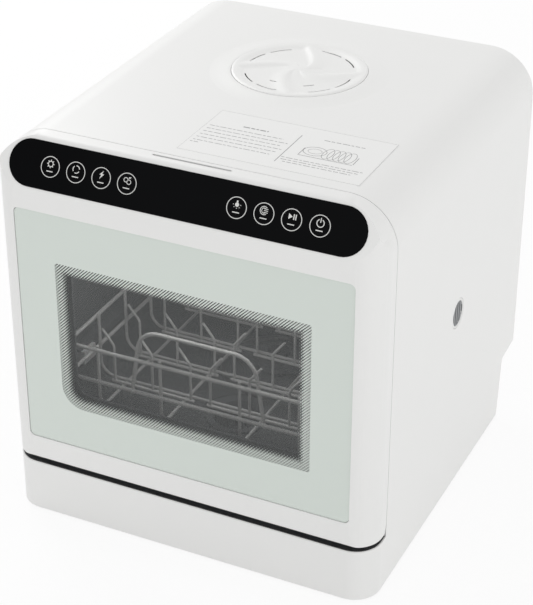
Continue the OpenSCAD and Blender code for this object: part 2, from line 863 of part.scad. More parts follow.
// Pump wheel on +Z: back plate, hub and curved vanes
module pump_wheel(r, h) {
    difference() {
        union() {
            cylinder(r = r, h = hub_wall);
            cylinder(r = shaft_r + hub_wall, h = h);
            intersection() {
                cylinder(r = r, h = h);
                for (turn = [0 : 60 : 300]) rotate([0, 0, turn]) translate([r / 2, 0, 0]) difference() {
                    cylinder(r = r / 2 + vane_t / 2, h = h);
                    translate([0, 0, -over]) cylinder(r = r / 2 - vane_t / 2, h = h + 2 * over);
                    translate([-r, -2 * r, -over]) cube([3 * r, 2 * r, h + 2 * over]);
                }
            }
        }
        translate([0, 0, -over]) cylinder(r = shaft_r + shaft_clear, h = h + 2 * over);
    }
}

module wash_impeller() color([0.8, 0.8, 0.8]) placed()
    translate([0, volute_y + volute_l - volute_wall - impeller_gap, pump_z]) rotate([90, 0, 0])
        pump_wheel(volute_r - volute_wall - impeller_gap, volute_l - 2 * volute_wall - 2 * impeller_gap);

module drain_pump_housing() color([0.2, 0.21, 0.22]) placed() difference() {
    union() {
        rod_x(-drain_x1, -drain_x0, sump_y, pump_z, drain_body_r);
        rod_y(-drain_x, sump_y, drain_out_y, pump_z, drain_line_r);
    }
    rod_x(-drain_x1 + volute_wall, -drain_x0 - volute_wall, sump_y, pump_z, drain_body_r - volute_wall);
    rod_x(-drain_x0 - volute_wall - over, -drain_x0 + over, sump_y, pump_z, drain_bore);
    rod_x(-drain_x1 - over, -drain_x0 - volute_wall, sump_y, pump_z, shaft_r + seat);
    rod_y(-drain_x, sump_y, drain_out_y + over, pump_z, drain_bore);
}

module drain_pump_motor() color([0.6, 0.6, 0.62]) placed() {
    rod_x(-drain_motor_x - drain_motor_l, -drain_motor_x, sump_y, pump_z, drain_motor_r);
    rod_x(-drain_motor_x, -drain_x0 - volute_wall - impeller_gap, sump_y, pump_z, shaft_r);
}

module drain_impeller() color([0.8, 0.8, 0.8]) placed()
    translate([-drain_x1 + volute_wall + impeller_gap, sump_y, pump_z]) rotate([0, 90, 0])
        pump_wheel(drain_body_r - volute_wall - impeller_gap,
            drain_x1 - drain_x0 - 2 * volute_wall - 2 * impeller_gap);

root_in = 6;
root_out = 2;
collar_l = 2;
collar_w = 3;
spigot_root_y = plinth_low_y - rear_wall - root_in;
spigot_pin_y = plinth_y + root_out;

module drain_hose() color([0.45, 0.46, 0.48]) placed() difference() {
    rod_y(-drain_x, drain_out_y + seat, spigot_root_y - seat, pump_z, drain_line_r);
    rod_y(-drain_x, drain_out_y, spigot_root_y, pump_z, drain_bore);
}

module drain_spigot() color([0.3, 0.31, 0.32]) placed() difference() {
    union() {
        rod_y(-drain_x, spigot_root_y, spigot_pin_y, pump_z, drain_line_r);
        rod_y(-drain_x, spigot_root_y, spigot_root_y + collar_l, pump_z, drain_line_r + collar_w);
        rod_y(-drain_x, spigot_pin_y - over, spigot_pin_y + spigot_l, pump_z, drain_r);
    }
    rod_y(-drain_x, spigot_root_y - over, spigot_pin_y + spigot_l + over, pump_z, drain_bore);
}

gland_out = 10;

module cord_gland() color([0.1, 0.1, 0.1]) placed() difference() {
    union() {
        rod_y(-gland_x, spigot_root_y, plinth_y + gland_out, pump_z, gland_r);
        rod_y(-gland_x, spigot_root_y, spigot_root_y + collar_l, pump_z, gland_r + collar_w);
        rod_y(-gland_x, spigot_pin_y, spigot_pin_y + collar_w, pump_z, gland_r + collar_w);
    }
    rod_y(-gland_x, spigot_root_y - over, plinth_y + gland_out + over, pump_z, cord_bore_r);
}

valve_w = 30;
valve_l = 32;
valve_h = 28;
valve_out_y = plinth_low_y - valve_l / 2;
inlet_root_r = inlet_r + 1.5;
inlet_wall = 3.5;
valve_nose = 6;
hose_r = 5;
hose_bore = 3.5;
hose_bend = 14;
hose_drop = 10;
hose_run_z = tub_under - hose_drop;
riser_in = 25;
riser_y = body_d - riser_in;

module inlet_valve() color([0.9, 0.9, 0.88]) placed() difference() {
    union() {
        translate([inlet_x - valve_w / 2, plinth_low_y - valve_l, pump_z - valve_h / 2])
            cube([valve_w, valve_l, valve_h]);
        rod_y(inlet_x, plinth_low_y - over, spigot_pin_y, pump_z, inlet_root_r);
        rod_y(inlet_x, spigot_pin_y - over, spigot_pin_y + inlet_spigot_l, pump_z, inlet_r);
        rod_z(inlet_x, valve_out_y, pump_z + valve_h / 2 - over, pump_z + valve_h / 2 + valve_nose, hose_r);
    }
    rod_y(inlet_x, plinth_low_y, spigot_pin_y + inlet_spigot_l + over, pump_z, inlet_r - inlet_wall);
}

// Bends are a hair slimmer than the straights and reach a little way into them
bend_slim = 0.03;
bend_in = 0.3;

module bend(start, bend_r, r, sweep) {
    reach = bend_in / bend_r * 180 / PI;
    rotate([0, 0, start - reach]) rotate_extrude(angle = sweep + 2 * reach)
        translate([bend_r, 0]) circle(r - bend_slim);
}

module bend_yz(x, cy, cz, start, bend_r, r, sweep = 90) {
    translate([x, cy, cz]) rotate([90, 0, 90]) bend(start, bend_r, r, sweep);
}

module bend_xz(y, cx, cz, start, bend_r, r, sweep = 90) {
    translate([cx, y, cz]) rotate([90, 0, 0]) bend(start, bend_r, r, sweep);
}

module bend_xy(cx, cy, z, start, bend_r, r, sweep = 90) {
    translate([cx, cy, z]) bend(start, bend_r, r, sweep);
}

module hose_path(r) {
    rod_z(inlet_x, valve_out_y, pump_z + valve_h / 2 + valve_nose + seat, hose_run_z - hose_bend, r);
    bend_yz(inlet_x, valve_out_y + hose_bend, hose_run_z - hose_bend, 90, hose_bend, r);
    rod_y(inlet_x, valve_out_y + hose_bend, riser_y - hose_bend, hose_run_z, r);
    bend_yz(inlet_x, riser_y - hose_bend, hose_run_z + hose_bend, 270, hose_bend, r);
    rod_z(inlet_x, riser_y, hose_run_z + hose_bend, tank_z - seat, r);
}

module fill_hose() color([0.85, 0.86, 0.86]) placed() hose_path(hose_r);

tank_r = 12;
port_flange = 8;
port_flange_t = 2;

module water_tank() color([0.82, 0.84, 0.85]) placed() difference() {
    translate([0, tank_y + tank_d / 2, tank_z]) linear_extrude(tank_h) rrect_2d(tank_w, tank_d, tank_r);
    translate([0, tank_y + tank_d / 2, tank_z + tank_wall])
        linear_extrude(tank_h - 2 * tank_wall)
            rrect_2d(tank_w - 2 * tank_wall, tank_d - 2 * tank_wall, tank_r - tank_wall);
    rod_z(0, cap_y, tank_top - tank_wall - over, tank_top + over, tank_hole_r);
    rod_z(inlet_x, riser_y, tank_z - over, tank_z + tank_wall + over, hose_bore);
}

module fill_port() color([0.9, 0.9, 0.89]) placed() difference() {
    union() {
        rod_z(0, cap_y, tank_top + seat, body_h, neck_r + neck_wall);
        rod_z(0, cap_y, casing_in_top - port_flange_t - seat, casing_in_top - seat,
            neck_r + neck_wall + port_flange);
    }
    rod_z(0, cap_y, tank_top, body_h + over, neck_r);
}

// Fill cap

cap_z = body_h + cap_gap;
skirt_gap = 0.6;
vent_in_span = 16;
vent_in_turn = 62;
vent_apart = 6;

module arc_slot(r, w, mid, span) {
    rotate([0, 0, mid - span / 2]) rotate_extrude(angle = span)
        translate([r - w / 2, -over]) square([w, cap_plate + 2 * over]);
}

// One curved rib of the pinwheel, from the middle of the cap out to its rim
module cap_rib() {
    intersection() {
        translate([0, -over, 0]) cube([cap_r, cap_r, cap_plate + rib_h]);
        translate([rib_curve, 0, cap_plate - over]) difference() {
            cylinder(r = rib_curve + rib_w / 2, h = rib_h + over);
            translate([0, 0, -over]) cylinder(r = rib_curve - rib_w / 2, h = rib_h + 3 * over);
        }
        cylinder(r = cap_r - cap_rim_w / 2, h = cap_plate + rib_h);
    }
}

module fill_cap() color([0.93, 0.93, 0.92]) placed() translate([0, cap_y, cap_z]) difference() {
    union() {
        rotate_extrude() {
            translate([0, 0]) square([cap_r - cap_rim_w / 2, cap_plate]);
            translate([cap_r - cap_rim_w, 0]) square([cap_rim_w, cap_plate + cap_rim_h / 2]);
            translate([cap_r - cap_rim_w / 2, cap_plate + cap_rim_h / 2]) scale(0.5) circle(cap_rim_h);
            translate([neck_r - skirt_gap - neck_wall, -skirt_depth])
                square([neck_wall, skirt_depth + over]);
        }
        for (turn = [0 : 90 : 270]) rotate([0, 0, turn]) cap_rib();
    }
    for (quarter = [0 : 90 : 270]) {
        arc_slot(vent_r, vent_w, quarter + 45 - (vent_span + vent_apart) / 2, vent_span);
        arc_slot(vent_r, vent_w, quarter + 45 + (vent_span + vent_apart) / 2, vent_span);
        arc_slot(vent_in_r, vent_w, quarter + vent_in_turn, vent_in_span);
    }
}

// Filter

cup_z = ledge_z + plate_t + seat;
cup_flange = 36;
cup_low_z = 58;
cup_wall = 2;
cup_grip_w = 8;
cup_grip_h = 6;
grip_in = 2;
mesh_w = 3;
mesh_h = 10;
mesh_low = 12;
mesh_pitch = 16;

module filter_cup() color([0.75, 0.76, 0.77]) placed() difference() {
    union() {
        rod_z(0, sump_y, cup_low_z, cup_z + cup_wall, filter_r);
        rod_z(0, sump_y, cup_z, cup_z + cup_wall, cup_flange);
        translate([-cup_flange + grip_in, sump_y - cup_grip_w / 2, cup_z])
            cube([2 * (cup_flange - grip_in), cup_grip_w, cup_wall + cup_grip_h]);
    }
    difference() {
        rod_z(0, sump_y, cup_low_z + cup_wall, cup_z + cup_wall + over, filter_r - cup_wall);
        translate([-cup_flange, sump_y - cup_grip_w / 2, cup_z])
            cube([2 * cup_flange, cup_grip_w, cup_flange]);
    }
    for (a = [0 : 20 : 340], row = [0, 1])
        rotate_about(0, sump_y, a) translate([filter_r, sump_y, cup_low_z + mesh_low + row * mesh_pitch])
            cube([cup_wall * 3, mesh_w, mesh_h], center = true);
}

// Drying fan

fan_x0 = tub_side;
fan_x1 = inner_half - 2;
fan_motor_r = 9;
fan_hub_l = 8;
fan_cap_t = 1;
fan_gap = 1;
fan_shift = 2.7;
fan_foot = 4;
fan_motor_x = fan_x0 + fan_foot;
fan_hub_x = (fan_x0 + fan_x1) / 2 + fan_shift - fan_hub_l / 2;
spoke_w = 3;
fan_shaft_r = 1.5;
fan_hub_r = 6;
fan_blade_w = 6;
fan_blade_t = 1.4;
fan_blade_turn = 35;
fan_tip_gap = 1.5;
grille_flange = 3;
grille_face = 1.5;

module side_grille() color([0.8, 0.8, 0.79]) placed() difference() {
    union() {
        rod_x(inner_half, half_w, grille_y, grille_z, grille_r);
        rod_x(fan_x1 + seat, inner_half, grille_y, grille_z, grille_r + grille_flange);
    }
    rod_x(fan_x1 - over, half_w - grille_face, grille_y, grille_z, grille_r - 1);
    for (ring = [0 : grille_rings], k = [0 : max(ring * 6 - 1, 0)])
        translate([half_w, grille_y, grille_z]) rotate([k * 60 / max(ring, 1), 0, 0])
            rod_x(-grille_face - over, over, 0, ring * grille_pitch, grille_hole_r);
}

module fan_housing() color([0.2, 0.2, 0.21]) placed() {
    difference() {
        rod_x(fan_x0, fan_x1, grille_y, grille_z, fan_r);
        rod_x(fan_x0 - over, fan_x1 + over, grille_y, grille_z, fan_bore);
    }
    difference() {
        for (turn = [0 : 120 : 240]) translate([fan_motor_x, grille_y, grille_z]) rotate([turn, 0, 0])
            translate([0, -spoke_w / 2, fan_motor_r - over])
                cube([spoke_w * 2, spoke_w, fan_bore - fan_motor_r + 2 * over]);
        rod_x(fan_x0, fan_x1, grille_y, grille_z, fan_motor_r + near);
    }
}

module fan_motor() color([0.5, 0.5, 0.52]) placed() {
    rod_x(fan_motor_x, fan_hub_x - fan_gap, grille_y, grille_z, fan_motor_r);
    rod_x(fan_hub_x - fan_gap, fan_hub_x + fan_hub_l - fan_cap_t, grille_y, grille_z, fan_shaft_r);
}

module fan_impeller() color([0.3, 0.3, 0.32]) placed()
    translate([fan_hub_x, grille_y, grille_z]) rotate([0, 90, 0]) difference() {
        union() {
            cylinder(r = fan_hub_r, h = fan_hub_l);
            for (turn = [0 : 60 : 300]) rotate([0, 0, turn])
                translate([fan_hub_r - over, 0, (fan_hub_l - fan_cap_t) / 2])
                rotate([fan_blade_turn, 0, 0]) translate([0, -fan_blade_w / 2, -fan_blade_t / 2])
                    cube([fan_bore - fan_tip_gap - fan_hub_r, fan_blade_w, fan_blade_t]);
        }
        translate([0, 0, -over]) cylinder(r = fan_shaft_r + shaft_clear, h = fan_hub_l - fan_cap_t + over);
    }

board_x = -100;
board_z = 240;
board_size = [120, 90];
standoff = 9;
standoff_r = 4;
standoff_in = 8;
part_h = 14;
board_parts = [[-38, -20, 26, 22], [0, -18, 20, 30], [34, 12, 24, 18], [-30, 24, 30, 12]];

module power_board() color([0.1, 0.4, 0.25]) placed() {
    board_y = tub_back + tub_wall + standoff;
    translate([board_x - board_size[0] / 2, board_y, board_z - board_size[1] / 2])
        cube([board_size[0], board_t, board_size[1]]);
    for (sx = [-1, 1], sz = [-1, 1])
        translate([board_x + sx * (board_size[0] / 2 - standoff_in), 0,
            board_z + sz * (board_size[1] / 2 - standoff_in)])
            rod_y(0, tub_back + tub_wall, board_y, 0, standoff_r);
    for (part = board_parts)
        translate([board_x + part[0] - part[2] / 2, board_y + board_t, board_z + part[1] - part[3] / 2])
            cube([part[2], part_h, part[3]]);
}

// Hinges

ear_gap = arm_plate + 2 * arm_side_gap;
bracket_w = 34;
bracket_rise = 2;
bracket_low_z = sill_top + bracket_rise;

module hinge_arm(side) color([0.6, 0.61, 0.62]) placed() {
    translate([side * arm_x, 0, 0]) {
        translate([-arm_plate / 2, 0, 0]) along_x(0, arm_plate) {
            translate([pivot_y, pivot_z]) circle(eye_r);
            translate([pivot_y, pivot_z - arm_half])
                square([cab_y + tub_wall - pivot_y + arm_plate, 2 * arm_half]);
        }
        translate([-bracket_w / 2, cab_y + tub_wall, bracket_low_z])
            cube([bracket_w, arm_plate, tub_under - seat - bracket_low_z]);
        rod_x(-ear_gap / 2 - ear_t, ear_gap / 2 + ear_t, pivot_y, pivot_z, pin_r);
    }
}

module hinge_arm_left() hinge_arm(-1);
module hinge_arm_right() hinge_arm(1);

block_top = 10;
block_bridge = 2;

module hinge_block(side) color([0.15, 0.15, 0.16]) placed() translate([side * arm_x, 0, 0]) {
    for (ear = [-1, 1]) difference() {
        union() {
            rod_x(ear * (ear_gap + ear_t) / 2 - ear_t / 2, ear * (ear_gap + ear_t) / 2 + ear_t / 2,
                pivot_y, pivot_z, ear_r);
            translate([ear * (ear_gap + ear_t) / 2 - ear_t / 2, door_wall, pivot_z - ear_r])
                cube([ear_t, pivot_y - door_wall, ear_r + block_top]);
        }
        rod_x(-ear_gap - ear_t, ear_gap + ear_t, pivot_y, pivot_z, pin_r + pin_clear);
    }
    translate([-ear_gap / 2 - over, door_wall, pivot_z - ear_r])
        cube([ear_gap + 2 * over, block_bridge, ear_r + block_top]);
}

module hinge_block_left() hinge_block(-1);
module hinge_block_right() hinge_block(1);

// Space that a hinge arm needs inside the door while the door swings
module arm_sweep() {
    for (side = [-1, 1])
        translate([side * arm_x - arm_plate / 2 - 2 * arm_side_gap, pivot_y - arm_half - over,
            door_bottom - over])
            cube([arm_plate + 4 * arm_side_gap, door_d, pivot_rise + arm_half + 2 * over]);
}

// Door

bezel_wall = 2.5;
glass_bed = 2.5;
pocket_y = glass_recess + glass_t;
ledge_y = pocket_y + glass_bed;
glass_mid_z = glass_z + glass_h / 2;
pad_t = 2.2;
pad_rim = 2;
pad_h = 1.5;
chip_w = 80;
chip_l = 18;
chip_h = 3;
board_back = strip_t - strip_proud + pad_t;

module glass_2d(grow) {
    translate([0, glass_mid_z]) rrect_2d(glass_w + 2 * grow, glass_h + 2 * grow, max(glass_r + grow, 2));
}

// Hollow of the door moulding, which leaves the glass's rim and the strip's pad standing
module door_hollow() difference() {
    door_solid(door_wall, door_d + over);
    along_y(0, ledge_y) glass_2d(bezel_wall);
    on_band() translate([0, 0, -board_back]) linear_extrude(board_back + over) strip_recess_2d(pad_rim);
}

module door_frame() color([0.9, 0.9, 0.89]) placed() difference() {
    door_solid(0, door_d);
    door_hollow();
    along_y(-over, pocket_y + over) glass_2d(seat);
    along_y(0, door_d) glass_2d(-glass_ledge);
    on_band() translate([0, 0, strip_proud - strip_t]) linear_extrude(strip_t + over)
        strip_recess_2d(seat / 2);
    translate([-slot_l / 2 + slot_w / 2, slot_y - slot_w / 2, body_h - 2 * door_wall])
        cube([slot_l - slot_w, slot_w, 3 * door_wall]);
    for (side = [-1, 1])
        rod_z(side * (slot_l - slot_w) / 2, slot_y, body_h - 2 * door_wall, body_h + over, slot_w / 2);
    arm_sweep();
}

module door_glass() color([0.78, 0.84, 0.8, 0.6]) placed()
    along_y(glass_recess, glass_t) glass_2d(0);

module control_panel() color([0.03, 0.03, 0.03]) placed()
    on_band() translate([0, 0, strip_proud - strip_t]) linear_extrude(strip_t) strip_2d();

module touch_board() color([0.08, 0.35, 0.2]) placed() on_band() translate([0, 0, -board_back - board_t]) {
    linear_extrude(board_t) square([board_l, board_w], center = true);
    for (side = [-1, 1], x = key_x)
        translate([side * x, 0, -pad_h]) cylinder(r = key_r / 2, h = pad_h);
    translate([-chip_w / 2, -chip_l / 2, -chip_h]) cube([chip_w, chip_l, chip_h]);
}

pocket_wall = 1.5;
pocket_half_y = 3;

module grip_pocket() color([0.08, 0.08, 0.08]) placed() difference() {
    translate([-slot_l / 2 - pocket_wall, slot_y - pocket_half_y, body_h - door_wall - slot_depth])
        cube([slot_l + 2 * pocket_wall, 2 * pocket_half_y, slot_depth]);
    translate([-slot_l / 2, slot_y - slot_w / 2, body_h - door_wall - slot_depth + pocket_wall])
        cube([slot_l, slot_w, slot_depth]);
}

liner_t = 2.5;
liner_gap = 0.3;
dish_head = 4;
dish_half = tub_w / 2 - dish_in;
dish_low_z = tub_z;
dish_high_z = tub_top - dish_head;
dish_r = 18;
view_w = 276;
view_h = 166;
view_r = 16;
pane_r = 20;

module dish_2d(grow) {
    translate([0, (dish_low_z + dish_high_z) / 2])
        rrect_2d(2 * (dish_half + grow), dish_high_z - dish_low_z + 2 * grow, dish_r + grow);
}

module door_liner() color([0.36, 0.37, 0.38]) placed() difference() {
    union() {
        intersection() {
            door_solid(door_wall + liner_gap, door_d);
            translate([-half_w, door_d - liner_t, pivot_z + liner_gap]) cube([body_w, liner_t, body_h]);
        }
        along_y(dish_y - liner_t, door_d - dish_y + liner_t) dish_2d(liner_t);
    }
    along_y(dish_y, door_d) dish_2d(0);
    along_y(0, door_d) translate([0, pane_mid_z]) rrect_2d(view_w, view_h, view_r);
    arm_sweep();
}

module inner_pane() color([0.3, 0.31, 0.31, 0.5]) placed()
    along_y(dish_y - liner_t - pane_t, pane_t) translate([0, pane_mid_z]) rrect_2d(pane_w, pane_h, pane_r);

strike_w = 22;
strike_t = 5;
strike_l = 13;
strike_rise = 4;
strike_z = catch_z + strike_rise;
hook_h = 2.5;
hook_l = 4;

module door_strike() color([0.5, 0.5, 0.52]) placed() translate([-strike_w / 2, door_d, strike_z]) {
    cube([strike_w, strike_l, strike_t]);
    translate([0, strike_l - hook_l, 0]) cube([strike_w, hook_l, strike_t + hook_h]);
}

// Rack

rack_half = tub_w / 2 - rack_side_gap;
rack_rear = tub_back - rack_rear_gap;
long_x = concat(-rack_half + long_in, long_mid_x, rack_half - long_in);
cross_y = [for (row = [0 : tine_rows - 1]) tine_y(row) + cross_off];
tine_left_x = [for (k = [0 : 2]) -rack_half + tine_left_in + k * tine_step];
tine_right_x = [for (k = [3 : -1 : 0]) rack_half - tine_right_in - k * tine_step];
wire_end = bend_in + near;
long_off = rail_r + wire_r - weld;
front_wire_y = rack_front + long_off;
rear_wire_y = rack_rear - long_off;
side_wire_x = rack_half - long_off;
cross_z = floor_z + 2 * wire_r - weld;
stub_up = 3.5;

function tine_y(row) = rack_front + tine_first + row * tine_pitch;

// Half of both rails: the straight across X with its two bends
module rail_end(y, z, dir) {
    rod_x(-rack_half + rail_bend, rack_half - rail_bend, y, z, rail_r);
    bend_xy(-rack_half + rail_bend, y + dir * rail_bend, z, dir > 0 ? 180 : 90, rail_bend, rail_r);
    bend_xy(rack_half - rail_bend, y + dir * rail_bend, z, dir > 0 ? 270 : 0, rail_bend, rail_r);
}

module rack_end(y, wire_y, dir) {
    for (z = [rail_top_z, rail_low_z]) rail_end(y, z, dir);
    for (x = long_x) {
        rod_z(x, wire_y, floor_z + wire_bend, rail_top_z + stub_up, wire_r);
        bend_yz(x, wire_y + dir * wire_bend, floor_z + wire_bend, dir > 0 ? 180 : 270, wire_bend, wire_r);
    }
}

module rack_front() color([0.66, 0.67, 0.68]) placed() rack_end(rack_front, front_wire_y, 1);
module rack_rear() color([0.66, 0.67, 0.68]) placed() rack_end(rack_rear, rear_wire_y, -1);

module rack_side(side) color([0.66, 0.67, 0.68]) placed() {
    for (z = [rail_top_z, rail_low_z])
        rod_y(side * rack_half, rack_front + rail_bend + wire_end, rack_rear - rail_bend - wire_end, z,
            rail_r);
    for (y = cross_y) {
        rod_z(side * side_wire_x, y, cross_z + wire_bend, rail_top_z + stub_up, wire_r);
        bend_xz(y, side * (side_wire_x - wire_bend), cross_z + wire_bend, side > 0 ? 270 : 180,
            wire_bend, wire_r);
    }
}

module rack_left() rack_side(-1);
module rack_right() rack_side(1);

module rack_floor() color([0.66, 0.67, 0.68]) placed() {
    for (x = long_x)
        rod_y(x, front_wire_y + wire_bend + wire_end, rear_wire_y - wire_bend - wire_end, floor_z, wire_r);
    for (y = cross_y)
        rod_x(-side_wire_x + wire_bend + wire_end, side_wire_x - wire_bend - wire_end, y, cross_z, wire_r);
}

tine_z = floor_z + 2 * wire_r + near;
tine_bend = 8;
tine_foot = 4;

// One tine: an upright, a short bend and a leaning tip
module tine(x, y, dir) {
    top = tine_z + tine_up;
    rod_z(x, y, tine_z, top, tine_r);
    bend_xz(y, x + dir * tine_bend, top, dir > 0 ? 180 - tine_lean : 0, tine_bend, tine_r, tine_lean);
    translate([x + dir * tine_bend * (1 - cos(tine_lean)), y, top + tine_bend * sin(tine_lean)])
        rotate([0, dir * tine_lean, 0]) cylinder(r = tine_r, h = tine_tip);
}

module rack_tines() color([0.66, 0.67, 0.68]) placed()
    for (row = [0 : tine_rows - 1]) {
        y = tine_y(row);
        rod_x(tine_left_x[0] - tine_foot, tine_left_x[2] + tine_foot, y, tine_z, wire_r);
        rod_x(tine_right_x[0] - tine_foot, tine_right_x[3] + tine_foot, y, tine_z, wire_r);
        for (x = tine_left_x) tine(x, y, -1);
        for (x = tine_right_x) tine(x, y, 1);
    }

module rack_handle() color([0.66, 0.67, 0.68]) placed() {
    y = rack_front + 2 * rail_r + near;
    reach = 90 - handle_lean;
    mid_z = handle_z - handle_bend;
    knee = [handle_half + handle_bend * cos(handle_lean), mid_z + handle_bend * sin(handle_lean)];
    rod_x(-handle_half, handle_half, y, handle_z, rail_r);
    bend_xz(y, handle_half, mid_z, handle_lean, handle_bend, rail_r, reach);
    bend_xz(y, -handle_half, mid_z, 90, handle_bend, rail_r, reach);
    for (side = [-1, 1]) translate([side * knee[0], y, knee[1]]) rotate([0, side * (180 - handle_lean), 0])
        cylinder(r = rail_r, h = (knee[1] - handle_foot_z) / cos(handle_lean));
}

module rack_glides() color([0.85, 0.85, 0.84]) placed()
    for (side = [-1, 1], y = [rack_front + glide_end, rack_rear - glide_end]) difference() {
        translate([side * (rack_half + (tub_w / 2 - guide_web - glide_clear - rack_half) / 2), y,
            rail_low_z])
            cube([tub_w / 2 - guide_web - glide_clear - rack_half, glide_l, glide_h], center = true);
        rod_y(side * rack_half, y - glide_l, y + glide_l, rail_low_z, rail_r + near);
    }

outer_casing();
rear_panel();
base_tray();
foot_front_left();
foot_front_right();
foot_rear_left();
foot_rear_right();
sill_strip();
tub();
tub_gasket();
sump();
filter_plate();
spray_post();
spray_nut();
heater_element();
wash_pump_housing();
wash_pump_motor();
drain_pump_housing();
drain_pump_motor();
drain_hose();
drain_spigot();
inlet_valve();
fill_hose();
water_tank();
fill_port();
fan_housing();
fan_motor();
side_grille();
power_board();
cord_gland();
hinge_arm_left();
hinge_arm_right();
door_catch();
guide_rail_left();
guide_rail_right();
tub_lamp();
door_frame();
door_glass();
inner_pane();
door_liner();
control_panel();
touch_board();
grip_pocket();
door_strike();
hinge_block_left();
hinge_block_right();
rack_front();
rack_rear();
rack_left();
rack_right();
rack_floor();
rack_tines();
rack_handle();
rack_glides();
fill_cap();
spray_arm();
filter_cup();
wash_impeller();
drain_impeller();
fan_impeller();
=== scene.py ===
import math
import bpy
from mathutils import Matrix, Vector


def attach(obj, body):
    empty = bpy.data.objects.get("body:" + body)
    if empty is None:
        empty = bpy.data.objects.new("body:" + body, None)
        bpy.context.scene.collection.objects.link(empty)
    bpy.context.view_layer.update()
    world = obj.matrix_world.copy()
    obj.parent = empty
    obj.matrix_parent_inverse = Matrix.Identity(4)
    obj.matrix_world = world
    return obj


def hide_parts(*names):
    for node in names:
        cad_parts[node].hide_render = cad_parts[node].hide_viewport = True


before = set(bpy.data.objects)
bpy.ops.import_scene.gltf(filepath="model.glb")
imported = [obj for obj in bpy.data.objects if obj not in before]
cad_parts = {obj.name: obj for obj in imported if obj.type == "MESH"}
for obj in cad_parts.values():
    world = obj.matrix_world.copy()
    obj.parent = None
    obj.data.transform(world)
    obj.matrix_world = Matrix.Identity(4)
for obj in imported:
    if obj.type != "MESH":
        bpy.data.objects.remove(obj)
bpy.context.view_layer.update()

# Sizes are in millimetres: x from the middle, y back from the door's front, z up from the floor
mm = 0.001
weld = 0.00001  # in metres: points closer than this are merged
machine = {"width": 430, "depth": 446, "top": 452, "sideRound": 52, "frontRound": 30, "wall": 2.4}
# Cutting pieces end here, clear of the body, and the spans pass through its front, side or roof
beyond = {"half": 220, "rear": 460, "low": -5, "top": 470, "front": (-2, 60), "side": (200, 230),
          "roof": (400, 460)}


def at(x, y, z):
    return Vector((x * mm, (y - machine["depth"] / 2) * mm, z * mm))


def same(a, b):
    return abs(a - b) < 2 * weld


def alone(piece):
    if bpy.context.mode != "OBJECT":
        bpy.ops.object.mode_set(mode="OBJECT")
    bpy.ops.object.select_all(action="DESELECT")
    piece.select_set(True)
    bpy.context.view_layer.objects.active = piece
    return piece


def settle(piece):  # puts the piece's place, turn and scale into its mesh
    alone(piece)
    bpy.ops.object.transform_apply(location=True, rotation=True, scale=True)
    return piece


def added(name):  # the primitive that was just added
    piece = bpy.context.active_object
    piece.name = piece.data.name = name
    return settle(piece)


def block(name, low, high):
    bpy.ops.object.select_all(action="DESELECT")
    bpy.ops.mesh.primitive_cube_add(size=1, location=(at(*low) + at(*high)) / 2)
    bpy.context.active_object.scale = at(*high) - at(*low)
    return added(name)


def drum(name, low, high, radius, sides=64):  # a cylinder between two points on one axis
    start, end = at(*low), at(*high)
    bpy.ops.object.select_all(action="DESELECT")
    bpy.ops.mesh.primitive_cylinder_add(vertices=sides, radius=radius * mm,
                                        depth=(end - start).length, location=(start + end) / 2)
    piece = bpy.context.active_object
    piece.rotation_mode = "QUATERNION"
    piece.rotation_quaternion = (end - start).to_track_quat("Z", "Y")
    return added(name)


def pickEdges(piece, wanted):
    alone(piece)
    bpy.ops.object.mode_set(mode="EDIT")
    bpy.ops.mesh.select_mode(type="EDGE")
    bpy.ops.mesh.select_all(action="DESELECT")
    bpy.ops.object.mode_set(mode="OBJECT")
    points = piece.data.vertices
    for edge in piece.data.edges:
        edge.select = wanted(*(points[v].co for v in edge.vertices))
    bpy.ops.object.mode_set(mode="EDIT")


def roundEdges(piece, wanted, width, steps):
    pickEdges(piece, wanted)
    bpy.ops.mesh.bevel(offset=width * mm, segments=steps, affect="EDGES")
    bpy.ops.object.mode_set(mode="OBJECT")
    return piece


def trim(piece, point, normal):  # takes off what lies on the normal's side and closes the cut
    alone(piece)
    bpy.ops.object.mode_set(mode="EDIT")
    bpy.ops.mesh.select_all(action="SELECT")
    bpy.ops.mesh.bisect(plane_co=point, plane_no=normal, use_fill=True, clear_outer=True)
    bpy.ops.object.mode_set(mode="OBJECT")
    return piece


def change(piece, kind, **values):  # adds one modifier and applies it
    alone(piece)
    step = piece.modifiers.new(kind.lower(), kind)
    for key, value in values.items():
        setattr(step, key, value)
    bpy.ops.object.modifier_apply(modifier=step.name)
    return piece


def fuse(piece, tool, how="DIFFERENCE"):
    change(piece, "BOOLEAN", operation=how, object=tool, solver="EXACT")
    bpy.data.objects.remove(tool)
    return piece


def soften(piece, width, steps=2, angle=35):
    change(piece, "BEVEL", width=width * mm, segments=steps,
           limit_method="ANGLE", angle_limit=math.radians(angle))
    return smooth(piece, angle)


def smooth(piece, angle=35):
    alone(piece)
    bpy.ops.object.shade_smooth_by_angle(angle=math.radians(angle))
    return change(piece, "WEIGHTED_NORMAL", keep_sharp=True)


def outline(name, points, thick, place=(0, 0, 0)):  # a flat outline, thickened upwards
    bpy.ops.object.select_all(action="DESELECT")
    bpy.ops.mesh.primitive_circle_add(vertices=len(points), radius=1, fill_type="NGON")
    piece = added(name)
    for vertex, (x, y) in zip(piece.data.vertices, points):
        vertex.co = ((x + place[0]) * mm, (y + place[1]) * mm, place[2] * mm)
    return change(piece, "SOLIDIFY", thickness=thick * mm, offset=1)


def arcPoints(radius, start, sweep, steps, middle=(0, 0)):
    angles = [math.radians(start + sweep * k / steps) for k in range(steps + 1)]
    return [(middle[0] + radius * math.cos(a), middle[1] + radius * math.sin(a)) for a in angles]


